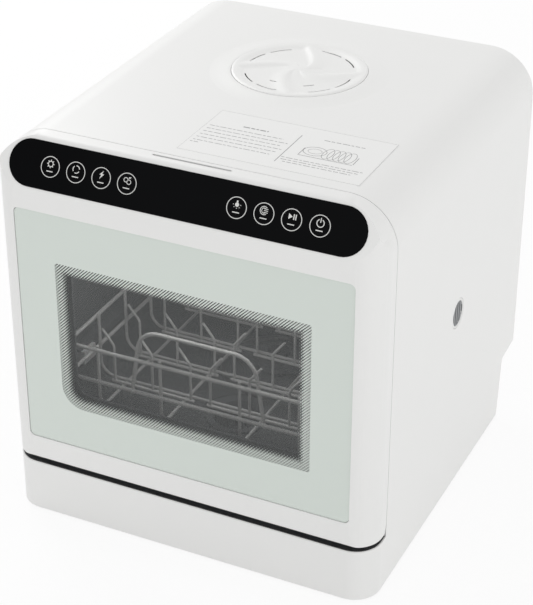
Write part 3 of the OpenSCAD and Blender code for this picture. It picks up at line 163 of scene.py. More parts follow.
def ribbon(radius, line, start, sweep, steps=16, middle=(0, 0)):  # a bent strip along an arc
    outer = arcPoints(radius + line / 2, start, sweep, steps, middle)
    return outer + arcPoints(radius - line / 2, start + sweep, -sweep, steps, middle)


def ringHalves(radius, line, steps, middle):
    return [ribbon(radius, line, start, 180, steps, middle) for start in (0, 180)]


def bar(x, y, wide, tall):
    left, right, low, high = x - wide / 2, x + wide / 2, y - tall / 2, y + tall / 2
    return [(left, low), (right, low), (right, high), (left, high)]


def gather(name, parts):
    for part in parts:
        part.select_set(False)
    alone(parts[0])
    for part in parts:
        part.select_set(True)
    bpy.ops.object.join()
    parts[0].name = parts[0].data.name = name
    return parts[0]


def fix(piece, body, finish, nodes=()):
    piece.data.materials.clear()
    piece.data.materials.append(finish)
    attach(piece, body)
    if nodes:
        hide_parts(*nodes)
    return piece


# Node helpers: a number or a colour is set on a socket, an output is linked to it
def feed(links, socket, value):
    if isinstance(value, (int, float, tuple)):
        socket.default_value = value
    elif value is not None:
        links.new(value, socket)


def mathNode(nodes, links, how, a, b=None, c=None):
    node = nodes.new("ShaderNodeMath")
    node.operation = how
    for socket, value in zip(node.inputs, (a, b, c)):
        feed(links, socket, value)
    return node.outputs[0]


def noiseNode(nodes, links, vector, scale, detail):
    node = nodes.new("ShaderNodeTexNoise")
    node.inputs["Detail"].default_value = detail
    feed(links, node.inputs["Scale"], scale)
    links.new(vector, node.inputs["Vector"])
    return node.outputs["Fac"]


def mixNode(nodes, links, share, first, second):
    node = nodes.new("ShaderNodeMix")
    node.data_type = "RGBA"
    feed(links, node.inputs["Factor"], share)
    feed(links, node.inputs["A"], first)
    feed(links, node.inputs["B"], second)
    return node.outputs["Result"]


# Finishes: one group for moulded plastics, one for drawn metal
grains = {"driftScale": 7, "driftDetail": 3, "patchScale": 23, "patchDetail": 5, "grainDetail": 2,
          "lineDetail": 4,
          "lineRough": 0.18}
surfaceOutputs = {"Colour": (0, 0, 0, 1), "Rough": 0.0, "Height": 0.0}


def groupOf(name, inputs, outputs):  # colours have four numbers, vectors three
    group = bpy.data.node_groups.new(name, "ShaderNodeTree")
    for way, sockets in (("INPUT", inputs), ("OUTPUT", outputs)):
        for label, value in sockets.items():
            size = len(value) if isinstance(value, tuple) else 1
            kind = {1: "NodeSocketFloat", 3: "NodeSocketVector", 4: "NodeSocketColor"}[size]
            group.interface.new_socket(label, in_out=way, socket_type=kind).default_value = value
    return group, group.nodes.new("NodeGroupInput"), group.nodes.new("NodeGroupOutput")


def mouldedGroup():  # slow tone drift, sheen patches and a fine spark-eroded grain
    group, given, made = groupOf(
        "mouldedSurface",
        {"Colour": (0.8, 0.8, 0.8, 1), "Shade": (0.7, 0.7, 0.7, 1), "Drift": 0.3, "Rough": 0.4,
         "Spread": 0.06, "Grain": 900.0}, surfaceOutputs)
    tree, values = (group.nodes, group.links), given.outputs
    place = group.nodes.new("ShaderNodeTexCoord").outputs["Object"]
    slow = noiseNode(*tree, place, grains["driftScale"], grains["driftDetail"])
    share = mathNode(*tree, "MULTIPLY", slow, values["Drift"])
    colour = mixNode(*tree, share, values["Colour"], values["Shade"])
    patches = noiseNode(*tree, place, grains["patchScale"], grains["patchDetail"])
    rough = mathNode(*tree, "MULTIPLY_ADD", patches, values["Spread"], values["Rough"])
    grain = noiseNode(*tree, place, values["Grain"], grains["grainDetail"])
    for label, value in (("Colour", colour), ("Rough", rough), ("Height", grain)):
        group.links.new(value, made.inputs[label])
    return group


def brushedGroup():  # fine lines drawn along one axis of the metal
    group, given, made = groupOf(
        "brushedSurface",
        {"Colour": (0.6, 0.6, 0.6, 1), "Dark": (0.4, 0.4, 0.4, 1), "Rough": 0.3,
         "Along": (20, 900, 900)}, surfaceOutputs)
    tree, values = (group.nodes, group.links), given.outputs
    place = group.nodes.new("ShaderNodeTexCoord").outputs["Object"]
    stretch = group.nodes.new("ShaderNodeVectorMath")
    stretch.operation = "MULTIPLY"
    group.links.new(place, stretch.inputs[0])
    group.links.new(values["Along"], stretch.inputs[1])
    lines = noiseNode(*tree, stretch.outputs[0], 1, grains["lineDetail"])
    colour = mixNode(*tree, lines, values["Colour"], values["Dark"])
    rough = mathNode(*tree, "MULTIPLY_ADD", lines, grains["lineRough"], values["Rough"])
    for label, value in (("Colour", colour), ("Rough", rough), ("Height", lines)):
        group.links.new(value, made.inputs[label])
    return group


moulded = mouldedGroup()
brushed = brushedGroup()


def material(name, group, bump, fixed, **values):  # bump: strength, and depth in millimetres
    made = bpy.data.materials.new(name)
    made.use_nodes = True
    nodes, links = made.node_tree.nodes, made.node_tree.links
    shader = nodes["Principled BSDF"]
    surface = nodes.new("ShaderNodeGroup")
    surface.node_tree = group
    for key, value in values.items():
        isColour = key in ("Colour", "Shade", "Dark")
        surface.inputs[key].default_value = (*value, 1) if isColour else value
    links.new(surface.outputs["Colour"], shader.inputs["Base Color"])
    links.new(surface.outputs["Rough"], shader.inputs["Roughness"])
    relief = nodes.new("ShaderNodeBump")
    relief.inputs["Strength"].default_value = bump[0]
    relief.inputs["Distance"].default_value = bump[1] * mm
    links.new(surface.outputs["Height"], relief.inputs["Height"])
    links.new(relief.outputs["Normal"], shader.inputs["Normal"])
    for key, value in fixed.items():
        shader.inputs[key].default_value = value
    return made


def underColour(made):  # a material's nodes, links, base colour socket and what feeds it
    tree = made.node_tree
    socket = tree.nodes["Principled BSDF"].inputs["Base Color"]
    return tree.nodes, tree.links, socket, socket.links[0].from_socket


whiteShell = material(
    "whiteShell", moulded, (0.06, 0.05), {"IOR": 1.46, "Specular IOR Level": 0.5},
    Colour=(0.845, 0.845, 0.835), Shade=(0.80, 0.80, 0.79),
    Drift=0.25, Rough=0.34, Spread=0.08, Grain=1400.0)
rearPlastic = material(
    "rearPlastic", moulded, (0.15, 0.1), {},
    Colour=(0.78, 0.78, 0.77), Shade=(0.70, 0.70, 0.69),
    Drift=0.3, Rough=0.48, Spread=0.1, Grain=700.0)
blackGloss = material(
    "blackGloss", moulded, (0.01, 0.02), {"Specular IOR Level": 0.03},
    Colour=(0.0016, 0.0018, 0.0022), Shade=(0.0032, 0.0034, 0.004),
    Drift=0.4, Rough=0.12, Spread=0.05, Grain=500.0)
tubPlastic = material(
    "tubPlastic", moulded, (0.03, 0.03), {},
    Colour=(0.125, 0.13, 0.132), Shade=(0.10, 0.104, 0.107),
    Drift=0.4, Rough=0.38, Spread=0.1, Grain=600.0)
linerPlastic = material(
    "linerPlastic", moulded, (0.05, 0.04), {},
    Colour=(0.17, 0.175, 0.18), Shade=(0.12, 0.125, 0.13),
    Drift=0.4, Rough=0.4, Spread=0.1, Grain=600.0)
darkPlastic = material(
    "darkPlastic", moulded, (0.2, 0.12), {},
    Colour=(0.032, 0.034, 0.036), Shade=(0.02, 0.021, 0.023),
    Drift=0.5, Rough=0.45, Spread=0.12, Grain=500.0)
greyPlastic = material(
    "greyPlastic", moulded, (0.14, 0.1), {},
    Colour=(0.36, 0.37, 0.38), Shade=(0.28, 0.29, 0.30),
    Drift=0.4, Rough=0.4, Spread=0.1, Grain=700.0)
tubTrim = material(
    "tubTrim", moulded, (0.14, 0.1), {},
    Colour=(0.15, 0.155, 0.16), Shade=(0.11, 0.115, 0.12),
    Drift=0.4, Rough=0.42, Spread=0.1, Grain=700.0)
palePlastic = material(
    "palePlastic", moulded, (0.1, 0.08), {"Subsurface Weight": 0.1, "Subsurface Scale": 0.004},
    Colour=(0.72, 0.73, 0.73), Shade=(0.63, 0.65, 0.66),
    Drift=0.35, Rough=0.36, Spread=0.08, Grain=600.0)
rubber = material(
    "rubber", moulded, (0.3, 0.15), {"Sheen Weight": 0.15},
    Colour=(0.018, 0.018, 0.019), Shade=(0.034, 0.034, 0.034),
    Drift=0.5, Rough=0.72, Spread=0.14, Grain=420.0)
wireCoat = material(
    "wireCoat", moulded, (0.06, 0.05), {"Coat Weight": 0.25, "Coat Roughness": 0.25},
    Colour=(0.70, 0.70, 0.68), Shade=(0.58, 0.58, 0.56),
    Drift=0.5, Rough=0.33, Spread=0.12, Grain=420.0)
steel = material(
    "steel", brushed, (0.08, 0.05), {"Metallic": 1.0},
    Colour=(0.62, 0.62, 0.60), Dark=(0.45, 0.45, 0.44),
    Rough=0.24, Along=(900, 30, 900))
motorMetal = material(
    "motorMetal", brushed, (0.06, 0.05), {"Metallic": 1.0},
    Colour=(0.5, 0.51, 0.52), Dark=(0.36, 0.37, 0.38),
    Rough=0.36, Along=(700, 40, 700))
symbolInk = material(
    "symbolInk", moulded, (0.02, 0.02), {},
    Colour=(0.72, 0.72, 0.70), Shade=(0.62, 0.62, 0.61),
    Drift=0.3, Rough=0.4, Spread=0.05, Grain=900.0)
labelInk = material(
    "labelInk", moulded, (0.02, 0.02), {},
    Colour=(0.26, 0.26, 0.26), Shade=(0.34, 0.34, 0.34),
    Drift=0.5, Rough=0.5, Spread=0.05, Grain=900.0)
labelFilm = material(
    "labelFilm", moulded, (0.02, 0.03), {"Coat Weight": 0.2, "Coat Roughness": 0.2},
    Colour=(0.85, 0.85, 0.84), Shade=(0.82, 0.82, 0.81),
    Drift=0.25, Rough=0.28, Spread=0.05, Grain=300.0)
smokedPane = material(
    "smokedPane", moulded, (0.01, 0.02), {"Alpha": 0.14},
    Colour=(0.10, 0.105, 0.105), Shade=(0.08, 0.085, 0.085),
    Drift=0.3, Rough=0.1, Spread=0.05, Grain=200.0)
print("finishes made")


# Camera, lamps and stage, in metres
view = {"lens": 107.31, "sensor": 36, "clip": (0.05, 50), "place": (0.7459, -1.5898, 1.2119),
        "azimuth": 25.408,
        "elevation": 30.050, "roll": 0.085}


def makeCamera():
    bpy.ops.object.camera_add(location=view["place"])
    camera = bpy.context.active_object
    camera.name = "photoCamera"
    around, up = math.radians(view["azimuth"]), math.radians(view["elevation"])
    back = Vector((math.sin(around) * math.cos(up), -math.cos(around) * math.cos(up), math.sin(up)))
    turn = (-back).to_track_quat("-Z", "Y").to_matrix().to_4x4()
    camera.rotation_euler = turn.to_euler()
    camera.rotation_euler.rotate_axis("Z", math.radians(view["roll"]))
    camera.data.sensor_width = view["sensor"]
    camera.data.lens = view["lens"]
    camera.data.clip_start, camera.data.clip_end = view["clip"]
    bpy.context.scene.camera = camera


light = {"world": 0.71, "floorSize": 14, "floorTone": (0.92, 0.92, 0.92, 1), "floorRough": 0.9,
         "floorGlow": 0.88, "target": (0, 0, 0.2),
         "keyPlace": (-1.9, 1.4, 1.9), "keySize": 1.4, "keyPower": 24,
         "sidePlace": (2.6, -0.3, 1.2), "sideSize": 2.0, "sidePower": 13,
         "frontPlace": (-0.4, -2.8, 1.0), "frontSize": 2.2, "frontPower": 9,
         "tubPlace": at(0, 50, 350), "tubTarget": at(0, 85, 170), "tubSize": 0.28, "tubDeep": 0.04,
         "tubPower": 0.32}


def areaLamp(part, target):
    place = light[part + "Place"]
    bpy.ops.object.light_add(type="AREA", location=place)
    lamp = bpy.context.active_object
    lamp.name = part + "Lamp"
    lamp.data.shape = "SQUARE"
    lamp.data.size = light[part + "Size"]
    lamp.data.energy = light[part + "Power"]
    lamp.rotation_euler = (Vector(target) - Vector(place)).to_track_quat("-Z", "Y").to_euler()
    return lamp


def seenRays(nodes, links):  # 1 for rays that the eye follows, straight or by a reflection
    path = nodes.new("ShaderNodeLightPath").outputs
    direct = mathNode(nodes, links, "MAXIMUM", path["Is Camera Ray"], path["Is Glossy Ray"])
    return mathNode(nodes, links, "MAXIMUM", direct, path["Is Transmission Ray"])


def makeWorld():  # white to the eye, softer as a light
    world = bpy.data.worlds.new("studio")
    bpy.context.scene.world = world
    world.use_nodes = True
    nodes, links = world.node_tree.nodes, world.node_tree.links
    sky = nodes["Background"]
    sky.inputs["Color"].default_value = (1, 1, 1, 1)
    level = nodes.new("ShaderNodeMapRange")
    level.inputs["To Min"].default_value = light["world"]
    level.inputs["To Max"].default_value = 1
    links.new(seenRays(nodes, links), level.inputs["Value"])
    links.new(level.outputs["Result"], sky.inputs["Strength"])


def makeFloor():  # matt, with a glow that only the eye sees
    bpy.ops.object.select_all(action="DESELECT")
    bpy.ops.mesh.primitive_plane_add(size=light["floorSize"], location=(0, 0, 0))
    floor = added("floor")
    paint = bpy.data.materials.new("floorPaint")
    paint.use_nodes = True
    nodes, links = paint.node_tree.nodes, paint.node_tree.links
    matt = nodes["Principled BSDF"]
    matt.inputs["Base Color"].default_value = light["floorTone"]
    matt.inputs["Roughness"].default_value = light["floorRough"]
    matt.inputs["Specular IOR Level"].default_value = 0
    glow = nodes.new("ShaderNodeEmission")
    mix = nodes.new("ShaderNodeMixShader")
    share = mathNode(nodes, links, "MULTIPLY", seenRays(nodes, links), light["floorGlow"])
    links.new(share, mix.inputs["Fac"])
    links.new(matt.outputs[0], mix.inputs[1])
    links.new(glow.outputs[0], mix.inputs[2])
    links.new(mix.outputs[0], nodes["Material Output"].inputs["Surface"])
    floor.data.materials.append(paint)


def makeLamps():
    for part in ("key", "side", "front"):
        areaLamp(part, light["target"])
    inside = areaLamp("tub", light["tubTarget"])  # faint, to show the rack behind the glass
    inside.data.shape = "RECTANGLE"
    inside.data.size_y = light["tubDeep"]
    inside.visible_camera = inside.visible_glossy = inside.visible_transmission = False


bpy.context.scene.view_settings.view_transform = "Standard"
makeCamera()
makeWorld()
makeFloor()
makeLamps()
print("camera, lamps and floor set")


# Cabinet shell with its sill
casing = {"front": 40.8, "floor": 2, "sillTop": 64, "sillReach": 3, "overlap": 0.02,
          "plinthFoot": 398, "stepY": 406,
          "stepLow": 77, "stepHigh": 82, "capY": 286, "capHole": 68.7, "capSides": 96,
          "grilleY": 230, "grilleZ": 232.6,
          "grilleHole": 17.3, "grilleSides": 48, "edge": 0.9, "roundSteps": 18, "noseSteps": 12}
sill = {"inset": 1.3, "reach": 2, "half": 0.5, "edge": 0.2}  # the dark line between door and sill: partly a real dark strip, partly painted shade of the gap under the door


def archBlock(name, inset, front, rear, low):  # a block with both long top edges rounded
    half, top = machine["width"] / 2 - inset, machine["top"] - inset
    piece, roof = block(name, (-half, front, low), (half, rear, top)), top * mm
    return roundEdges(piece, lambda a, b: same(a.x, b.x) and same(a.z, roof) and same(b.z, roof),
                      machine["sideRound"] - inset, casing["roundSteps"])


def planBlock(name, inset, rear, low, high):  # a block with both upright front edges rounded
    half = machine["width"] / 2 - inset
    piece = block(name, (-half, inset, low), (half, rear, high))
    nose = at(0, inset, 0).y
    return roundEdges(piece, lambda a, b: same(a.y, nose) and same(b.y, nose) and same(a.x, b.x),
                      machine["frontRound"] - inset, casing["noseSteps"])


def makeStep():  # what the overhang at the back leaves free above the plinth
    foot, start, low = casing["plinthFoot"], casing["stepY"], casing["stepLow"]
    step = block("step", (-beyond["half"], foot, beyond["low"]),
                 (beyond["half"], beyond["rear"], casing["stepHigh"]))
    lean = (start - foot) / (low - casing["floor"])
    rise = (casing["stepHigh"] - low) / (machine["depth"] - start)
    heel = foot - (casing["floor"] - beyond["low"]) * lean
    middle = at(0, (foot + beyond["rear"]) / 2, 0).y
    for vertex in step.data.vertices:
        up = vertex.co.z > 0
        if vertex.co.y < middle:
            vertex.co.y = at(0, start if up else heel, 0).y
            vertex.co.z = (low if up else beyond["low"]) * mm
        elif up:
            vertex.co.z = (low + rise * (beyond["rear"] - start)) * mm
    return step


def makeCasing():
    wall, front, low = machine["wall"], casing["front"], beyond["low"]
    sillTop, sillRear = casing["sillTop"], front + casing["sillReach"]
    shell = archBlock("casingShell", 0, front, machine["depth"], casing["floor"])
    fuse(shell, planBlock("sill", 0, sillRear, casing["floor"], sillTop), "UNION")
    fuse(shell, archBlock("room", wall, front - casing["overlap"], machine["depth"] + 2, low))
    fuse(shell, planBlock("sillRoom", wall, sillRear + 1, low, sillTop - wall))
    fuse(shell, makeStep())
    y, (low, high) = casing["capY"], beyond["roof"]
    fuse(shell, drum("capHole", (0, y, low), (0, y, high), casing["capHole"], casing["capSides"]))
    y, z, (inner, outer) = casing["grilleY"], casing["grilleZ"], beyond["side"]
    fuse(shell, drum("grilleHole", (inner, y, z), (outer, y, z),
                     casing["grilleHole"], casing["grilleSides"]))
    return soften(shell, casing["edge"])


fix(makeCasing(), "cabinet", whiteShell, ["outer_casing"])
# A dark slab on the sill top: its darkness is partly the real dark strip and partly painted shade
# in the gap under the door
sillStripAndShade = planBlock("sillStripAndShade", sill["inset"], casing["front"] + sill["reach"],
                     casing["sillTop"] - sill["half"], casing["sillTop"] + sill["half"])
fix(soften(sillStripAndShade, sill["edge"]), "cabinet", darkPlastic)
print("cabinet shell made")


# Door moulding, with the strip that lies in its sloping band
door = {"rear": 40, "bottom": 70, "wall": 2.5, "edge": 0.7, "lip": 4, "lipSteps": 5,
        "bandStart": 404, "bandTilt": 26, "bandRound": 7, "bandSteps": 8, "bandEdge": 3,
        "bandEdgeSteps": 3, "bandWall": 4.6,
        "glassHalf": 189, "glassLow": 99, "glassHigh": 378, "glassRound": 6, "glassFace": 1.2,
        "glassThick": 4,
        "glassEdge": 0.5, "ledge": 12, "ledgeY": 7.7, "openingRound": 3, "openingSteps": 3,
        "slotHalf": 43.5, "slotY": 33.4, "slotWide": 3, "slotDeep": 12, "slotSteps": 6,
        "armX": 172, "armHalf": 2.5, "armFront": 6, "armRear": 50, "armLow": 60, "armHigh": 90,
        # the lower rear edge, cut to swing clear about the hinge
        "heel": [(36.25, 70), (38.0, 73.5), (39.3, 78), (40, 84)]}
strip = {"half": 195.5, "wide": 48.6, "middle": 24.9, "thick": 3, "proud": 1, "gap": 0.3,
         "edge": 0.6, "open": 5}
tilt = math.radians(door["bandTilt"])


def acrossAt(y, z):  # picks the edges that run from side to side at one place
    return lambda a, b: same(a.y, y) and same(b.y, y) and same(a.z, z) and same(b.z, z)


def doorBody(name, inset, bandInset, front, rear):
    low, face, top = door["bottom"] + inset, min(front, inset), machine["top"] - inset
    body = archBlock(name, inset, front, rear, low)
    fuse(body, planBlock("plan", inset, rear + 1, 0, beyond["top"]), "INTERSECT")
    side = block("side", (-beyond["half"], face, low), (beyond["half"], rear, top))
    outward = Vector((0, -math.cos(tilt), math.sin(tilt)))
    trim(side, at(0, 0, door["bandStart"]) - outward * bandInset * mm, outward)
    edgeY = min(v.co.y for v in side.data.vertices if same(v.co.z, top * mm))
    roundEdges(side, acrossAt(edgeY, top * mm),
               (door["bandRound"] - inset) * math.tan((math.pi / 2 - tilt) / 2), door["bandSteps"])
    if inset == 0:
        faceY = at(0, face, 0).y
        roundEdges(side, acrossAt(faceY, door["bandStart"] * mm),
                   door["bandEdge"], door["bandEdgeSteps"])
        roundEdges(side, acrossAt(faceY, low * mm), door["lip"], door["lipSteps"])
    for (y0, z0), (y1, z1) in zip(door["heel"], door["heel"][1:]):
        normal = Vector((0, z1 - z0, y0 - y1)).normalized()
        trim(side, at(0, y0 - inset, z0 + inset), normal)
    return fuse(body, side, "INTERSECT")


def plate(name, half, low, high, front, rear, radius, steps=6):
    piece = block(name, (-half, front, low), (half, rear, high))
    return roundEdges(piece, lambda a, b: same(a.x, b.x) and same(a.z, b.z), radius, steps)


def onBand(piece):  # from flat, with z out of the face, to the sloping band
    piece.rotation_euler = (math.pi / 2 - tilt, 0, 0)
    up = strip["middle"]
    piece.location = at(0, up * math.sin(tilt), door["bandStart"] + up * math.cos(tilt))
    return settle(piece)


def stadium(name, half, wide, low, high, steps=16):
    run = half - wide / 2
    points = arcPoints(wide / 2, -90, 180, steps, (run, 0))
    points += arcPoints(wide / 2, 90, 180, steps, (-run, 0))
    return outline(name, points, high - low, (0, 0, low))


def makeDoor():
    half, low, high = door["glassHalf"], door["glassLow"], door["glassHigh"]
    gap, ledge, (front, rear) = strip["gap"], door["ledge"], beyond["front"]
    shell = doorBody("doorShell", 0, 0, 0, door["rear"])
    fuse(shell, doorBody("room", door["wall"], door["bandWall"], door["ledgeY"], door["rear"] + 2))
    fuse(shell, plate("pocket", half + gap, low - gap, high + gap, front,
                      door["glassFace"] + door["glassThick"], door["glassRound"]))
    fuse(shell, plate("opening", half - ledge, low + ledge, high - ledge, front, rear,
                      door["openingRound"], door["openingSteps"]))
    fuse(shell, onBand(stadium("recess", strip["half"] + gap / 2, strip["wide"] + gap,
                               strip["proud"] - strip["thick"], strip["open"])))
    soften(shell, door["edge"])
    slot = stadium("slot", door["slotHalf"], door["slotWide"], 0, door["slotDeep"],
                   door["slotSteps"])
    slot.location = at(0, door["slotY"], machine["top"] - door["slotDeep"] / 2)
    fuse(shell, settle(slot))
    for x in (-door["armX"], door["armX"]):
        fuse(shell, block("armSlot", (x - door["armHalf"], door["armFront"], door["armLow"]),
                          (x + door["armHalf"], door["armRear"], door["armHigh"])))
    return smooth(shell)


fix(makeDoor(), "door", whiteShell, ["door_frame"])
print("door moulding made")


# Door glass, with its printed frame and window
window = {"half": 144.3, "low": 148.7, "high": 322.2, "lowRound": 26, "highRound": 3,
          "border": 12.5, "pitch": 3.5,
          "strokeShare": 0.7, "breakShare": 0.3, "thinnest": 0.95, "fadeRate": 2.1,
          "fadeMost": 0.97,
          "mint": (0.675, 0.73, 0.685), "mintShade": (0.65, 0.71, 0.665),
          "smoke": (0.12, 0.125, 0.125, 1), "haze": 0.28}


def printGroup():  # 1 where the glass is printed, with diagonal strokes along the window's border
    group, given, made = groupOf("windowPrint", {"Border": window["border"] * mm}, {"Print": 0.0})
    calc = lambda how, *args: mathNode(group.nodes, group.links, how, *args)
    split = group.nodes.new("ShaderNodeSeparateXYZ")
    group.links.new(group.nodes.new("ShaderNodeTexCoord").outputs["Object"], split.inputs[0])
    x, z, border = split.outputs["X"], split.outputs["Z"], given.outputs["Border"]
    middle = (window["low"] + window["high"]) / 2 * mm
    tall = (window["high"] - window["low"]) / 2 * mm
    small, more = window["highRound"] * mm, (window["lowRound"] - window["highRound"]) * mm
    lowLeft = calc("MULTIPLY", calc("LESS_THAN", z, middle), calc("LESS_THAN", x, 0.0))
    corner = calc("MULTIPLY_ADD", lowLeft, more, small)  # only the lower left corner is wide
    across = calc("ADD", calc("SUBTRACT", calc("ABSOLUTE", x), window["half"] * mm), corner)
    height = calc("ABSOLUTE", calc("SUBTRACT", z, middle))
    down = calc("ADD", calc("SUBTRACT", height, tall), corner)
    outX, outZ = calc("MAXIMUM", across, 0.0), calc("MAXIMUM", down, 0.0)
    far = calc("SQRT", calc("ADD", calc("MULTIPLY", outX, outX), calc("MULTIPLY", outZ, outZ)))
    inward = calc("MINIMUM", calc("MAXIMUM", across, down), 0.0)
    edge = calc("SUBTRACT", calc("ADD", far, inward), corner)
    turns = math.tau / (window["pitch"] * mm)
    strokes = calc("SINE", calc("MULTIPLY", calc("SUBTRACT", x, z), turns))
    breaks = calc("SINE", calc("MULTIPLY", calc("ADD", x, z), turns))
    marked = calc("ADD", calc("MULTIPLY", strokes, window["strokeShare"]),
                  calc("MULTIPLY", breaks, window["breakShare"]))
    fade = calc("DIVIDE", calc("ADD", edge, border), border)
    grown = calc("MINIMUM", calc("MULTIPLY", fade, window["fadeRate"]), window["fadeMost"])
    level = calc("SUBTRACT", window["thinnest"], grown)
    stroked = calc("MULTIPLY", calc("GREATER_THAN", marked, level), calc("GREATER_THAN", fade, 0.0))
    group.links.new(calc("MAXIMUM", stroked, calc("GREATER_THAN", edge, 0.0)), made.inputs["Print"])
    return group


def glassMaterial():
    made = material(
        "printedGlass", moulded, (0.01, 0.02), {"Coat Weight": 0.3, "Coat Roughness": 0.05},
        Colour=window["mint"], Shade=window["mintShade"],
        Drift=0.2, Rough=0.12, Spread=0.04, Grain=200.0)
    nodes, links, base, colour = underColour(made)
    mask = nodes.new("ShaderNodeGroup")
    mask.node_tree = printGroup()
    printed = mask.outputs["Print"]
    links.new(mixNode(nodes, links, printed, window["smoke"], colour), base)
    solid = nodes.new("ShaderNodeMapRange")
    solid.inputs["To Min"].default_value = window["haze"]
    links.new(printed, solid.inputs["Value"])
    links.new(solid.outputs["Result"], nodes["Principled BSDF"].inputs["Alpha"])
    return made


def makeGlass():
    face = door["glassFace"]
    pane = plate("doorWindow", door["glassHalf"], door["glassLow"], door["glassHigh"],
                 face, face + door["glassThick"], door["glassRound"])
    return soften(pane, door["glassEdge"])


def makeStrip():
    back = strip["proud"] - strip["thick"]
    pane = stadium("touchStrip", strip["half"], strip["wide"], back, strip["proud"])
    return onBand(soften(pane, strip["edge"]))


fix(makeGlass(), "door", glassMaterial(), ["door_glass"])
fix(makeStrip(), "door", blackGloss, ["control_panel"])
print("glass and strip made")


# Touch symbols: plain pictograms in rings, each with a short bar below
# Their outlines and places are measured from the middle of each pictogram
symbols = {
    "keys": (60, 89, 118, 147.4), "ring": 10.35, "line": 0.75, "ringSteps": 32, "lift": 0.12,
    "sink": 0.04,
    "iconUp": 3.0, "barDown": -4.6, "barSize": (7.2, 1.0),
    "cog": (2.7, 0.8, 12), "teeth": 8,
    "tooth": [(2.9, -0.6), (4.3, -0.35), (4.3, 0.35), (2.9, 0.6)],
    "chaseRing": (3.7, 0.9), "chaseStarts": (10, 130, 250), "chaseSweep": (85, 8),
    "bolt": [(1.8, 4.6), (-2.6, 0.2), (-0.4, 0.2), (-2.0, -4.2), (2.8, 1.0), (0.4, 1.0)],
    "rounds": ((-1.7, 0.6), (1.9, -1.2)), "roundRing": (2.2, 0.7, 10),
    "leaf": [(0.6, 2.2), (3.2, 2.6), (4.0, 3.9), (1.6, 3.6)],
    "bulb": (2.1, 0, 345, 15), "bulbFoot": (3.1, 1.6, 1.8), "rays": (180, 225, 270, 315, 0),
    "rayReach": (3.9, 3.5),
    "rayDot": (0.45, 0, 315, 7),
    "airRings": ((-0.4, (4.0, 0.7, 50, 260, 20)), (-0.2, (2.6, 0.6, 70, 220, 14))), "airRight": 1.6,
    "airUp": (-1.8, 0, 1.8), "airBar": (4.2, 0.7),
    "arrow": [(-3.6, 2.8), (-3.6, -2.8), (0.6, 0)], "pauseRight": (1.9, 4.0),
    "pauseBar": (1.1, 5.4),
    "powerRing": (3.7, 0.9, 115, 310, 24), "powerDown": -0.4, "powerUp": 2.4,
    "powerBar": (0.9, 4.6)}


def shifted(points, x, y):
    return [(x + dx, y + dy) for dx, dy in points]


def turned(points, turn):
    c, s = math.cos(math.radians(turn)), math.sin(math.radians(turn))
    return [(u * c - v * s, u * s + v * c) for u, v in points]


def symbolShapes():
    up, line = symbols["iconUp"], symbols["line"]
    left, right = [-x for x in symbols["keys"]], list(symbols["keys"])
    shapes = []
    for x in left + right:
        shapes += ringHalves(symbols["ring"], line, symbols["ringSteps"], (x, 0))
        shapes.append(bar(x, symbols["barDown"], *symbols["barSize"]))
    x = left[3]  # a toothed ring
    shapes += ringHalves(*symbols["cog"], (x, up))
    for count in range(symbols["teeth"]):
        tooth = turned(symbols["tooth"], count * 360 / symbols["teeth"])
        shapes.append(shifted(tooth, x, up))
    x = left[2]  # three arcs chasing each other
    for start in symbols["chaseStarts"]:
        shapes.append(ribbon(*symbols["chaseRing"], start, *symbols["chaseSweep"], (x, up)))
    shapes.append(shifted(symbols["bolt"], left[1], up))
    x = left[0]  # two rounds with a leaf
    for dx, dy in symbols["rounds"]:
        shapes += ringHalves(*symbols["roundRing"], (x + dx, up + dy))
    shapes.append(shifted(symbols["leaf"], x, up))
    x = right[0]  # a bulb with rays
    shapes.append(arcPoints(*symbols["bulb"], (x, up)))
    rise, *foot = symbols["bulbFoot"]
    shapes.append(bar(x, up + rise, *foot))
    wide, tall = symbols["rayReach"]
    for a in map(math.radians, symbols["rays"]):
        middle = (x + wide * math.cos(a), up + tall * math.sin(a))
        shapes.append(arcPoints(*symbols["rayDot"], middle))
    x = right[1]  # open rings with three bars
    for dx, ring in symbols["airRings"]:
        shapes.append(ribbon(*ring, (x + dx, up)))
    for dy in symbols["airUp"]:
        shapes.append(bar(x + symbols["airRight"], up + dy, *symbols["airBar"]))
    x = right[2]  # an arrow head with two bars
    shapes.append(shifted(symbols["arrow"], x, up))
    for dx in symbols["pauseRight"]:
        shapes.append(bar(x + dx, up, *symbols["pauseBar"]))
    x = right[3]  # an open ring with a bar at its gap
    shapes.append(ribbon(*symbols["powerRing"], (x, up + symbols["powerDown"])))
    shapes.append(bar(x, up + symbols["powerUp"], *symbols["powerBar"]))
    return shapes


def makeSymbols():
    place = (0, 0, strip["proud"] - symbols["sink"])
    marks = [outline("mark", points, symbols["lift"], place) for points in symbolShapes()]
    return onBand(gather("keySymbols", marks))


fix(makeSymbols(), "door", symbolInk)
print("touch symbols made")


# Printed label on the top: rows of short bars and a plain drawing of plates
label = {"left": -29, "right": 167, "front": 56.5, "rear": 158, "film": 0.08, "ink": 0.06,
         "sink": 0.02,
         "hair": 0.13, "hairInset": 0.4, "divide": (71, 104, 0.75, 66),
         "words": (5.5, 3.1, 7.2, 4.4, 2.6, 6.3, 3.8, 5.0, 8.1, 2.9, 4.7), "gap": 1.5, "tall": 0.85,
         "heading": (9, 37, 130, 1.9), "rowLeft": -24, "rowEnds": (58, 66, 61, 66, 63, 60),
         "rowStart": 120, "rowStep": 7.4,
         "lastRow": (-25, -16, 78), "caption": (96, 140, 135.7, 1.0),
         "noteRows": ((73, 159), (74, 156), (78, 150)), "noteStart": 83.5, "noteStep": 4.6,
         "plates": (112, 118, 124, 130, 136), "plateY": 108, "plateOval": (5.5, 12, 0.55),
         "bowlX": 98,
         "bowlOvals": ((12.5, 10, 0.6), (7.5, 5.5, 0.45)), "ovalSteps": 16,
         "stand": ((114, 94.6, 58, 0.7), (85.5, 104, 0.7, 16), (143.5, 104, 0.7, 16))}


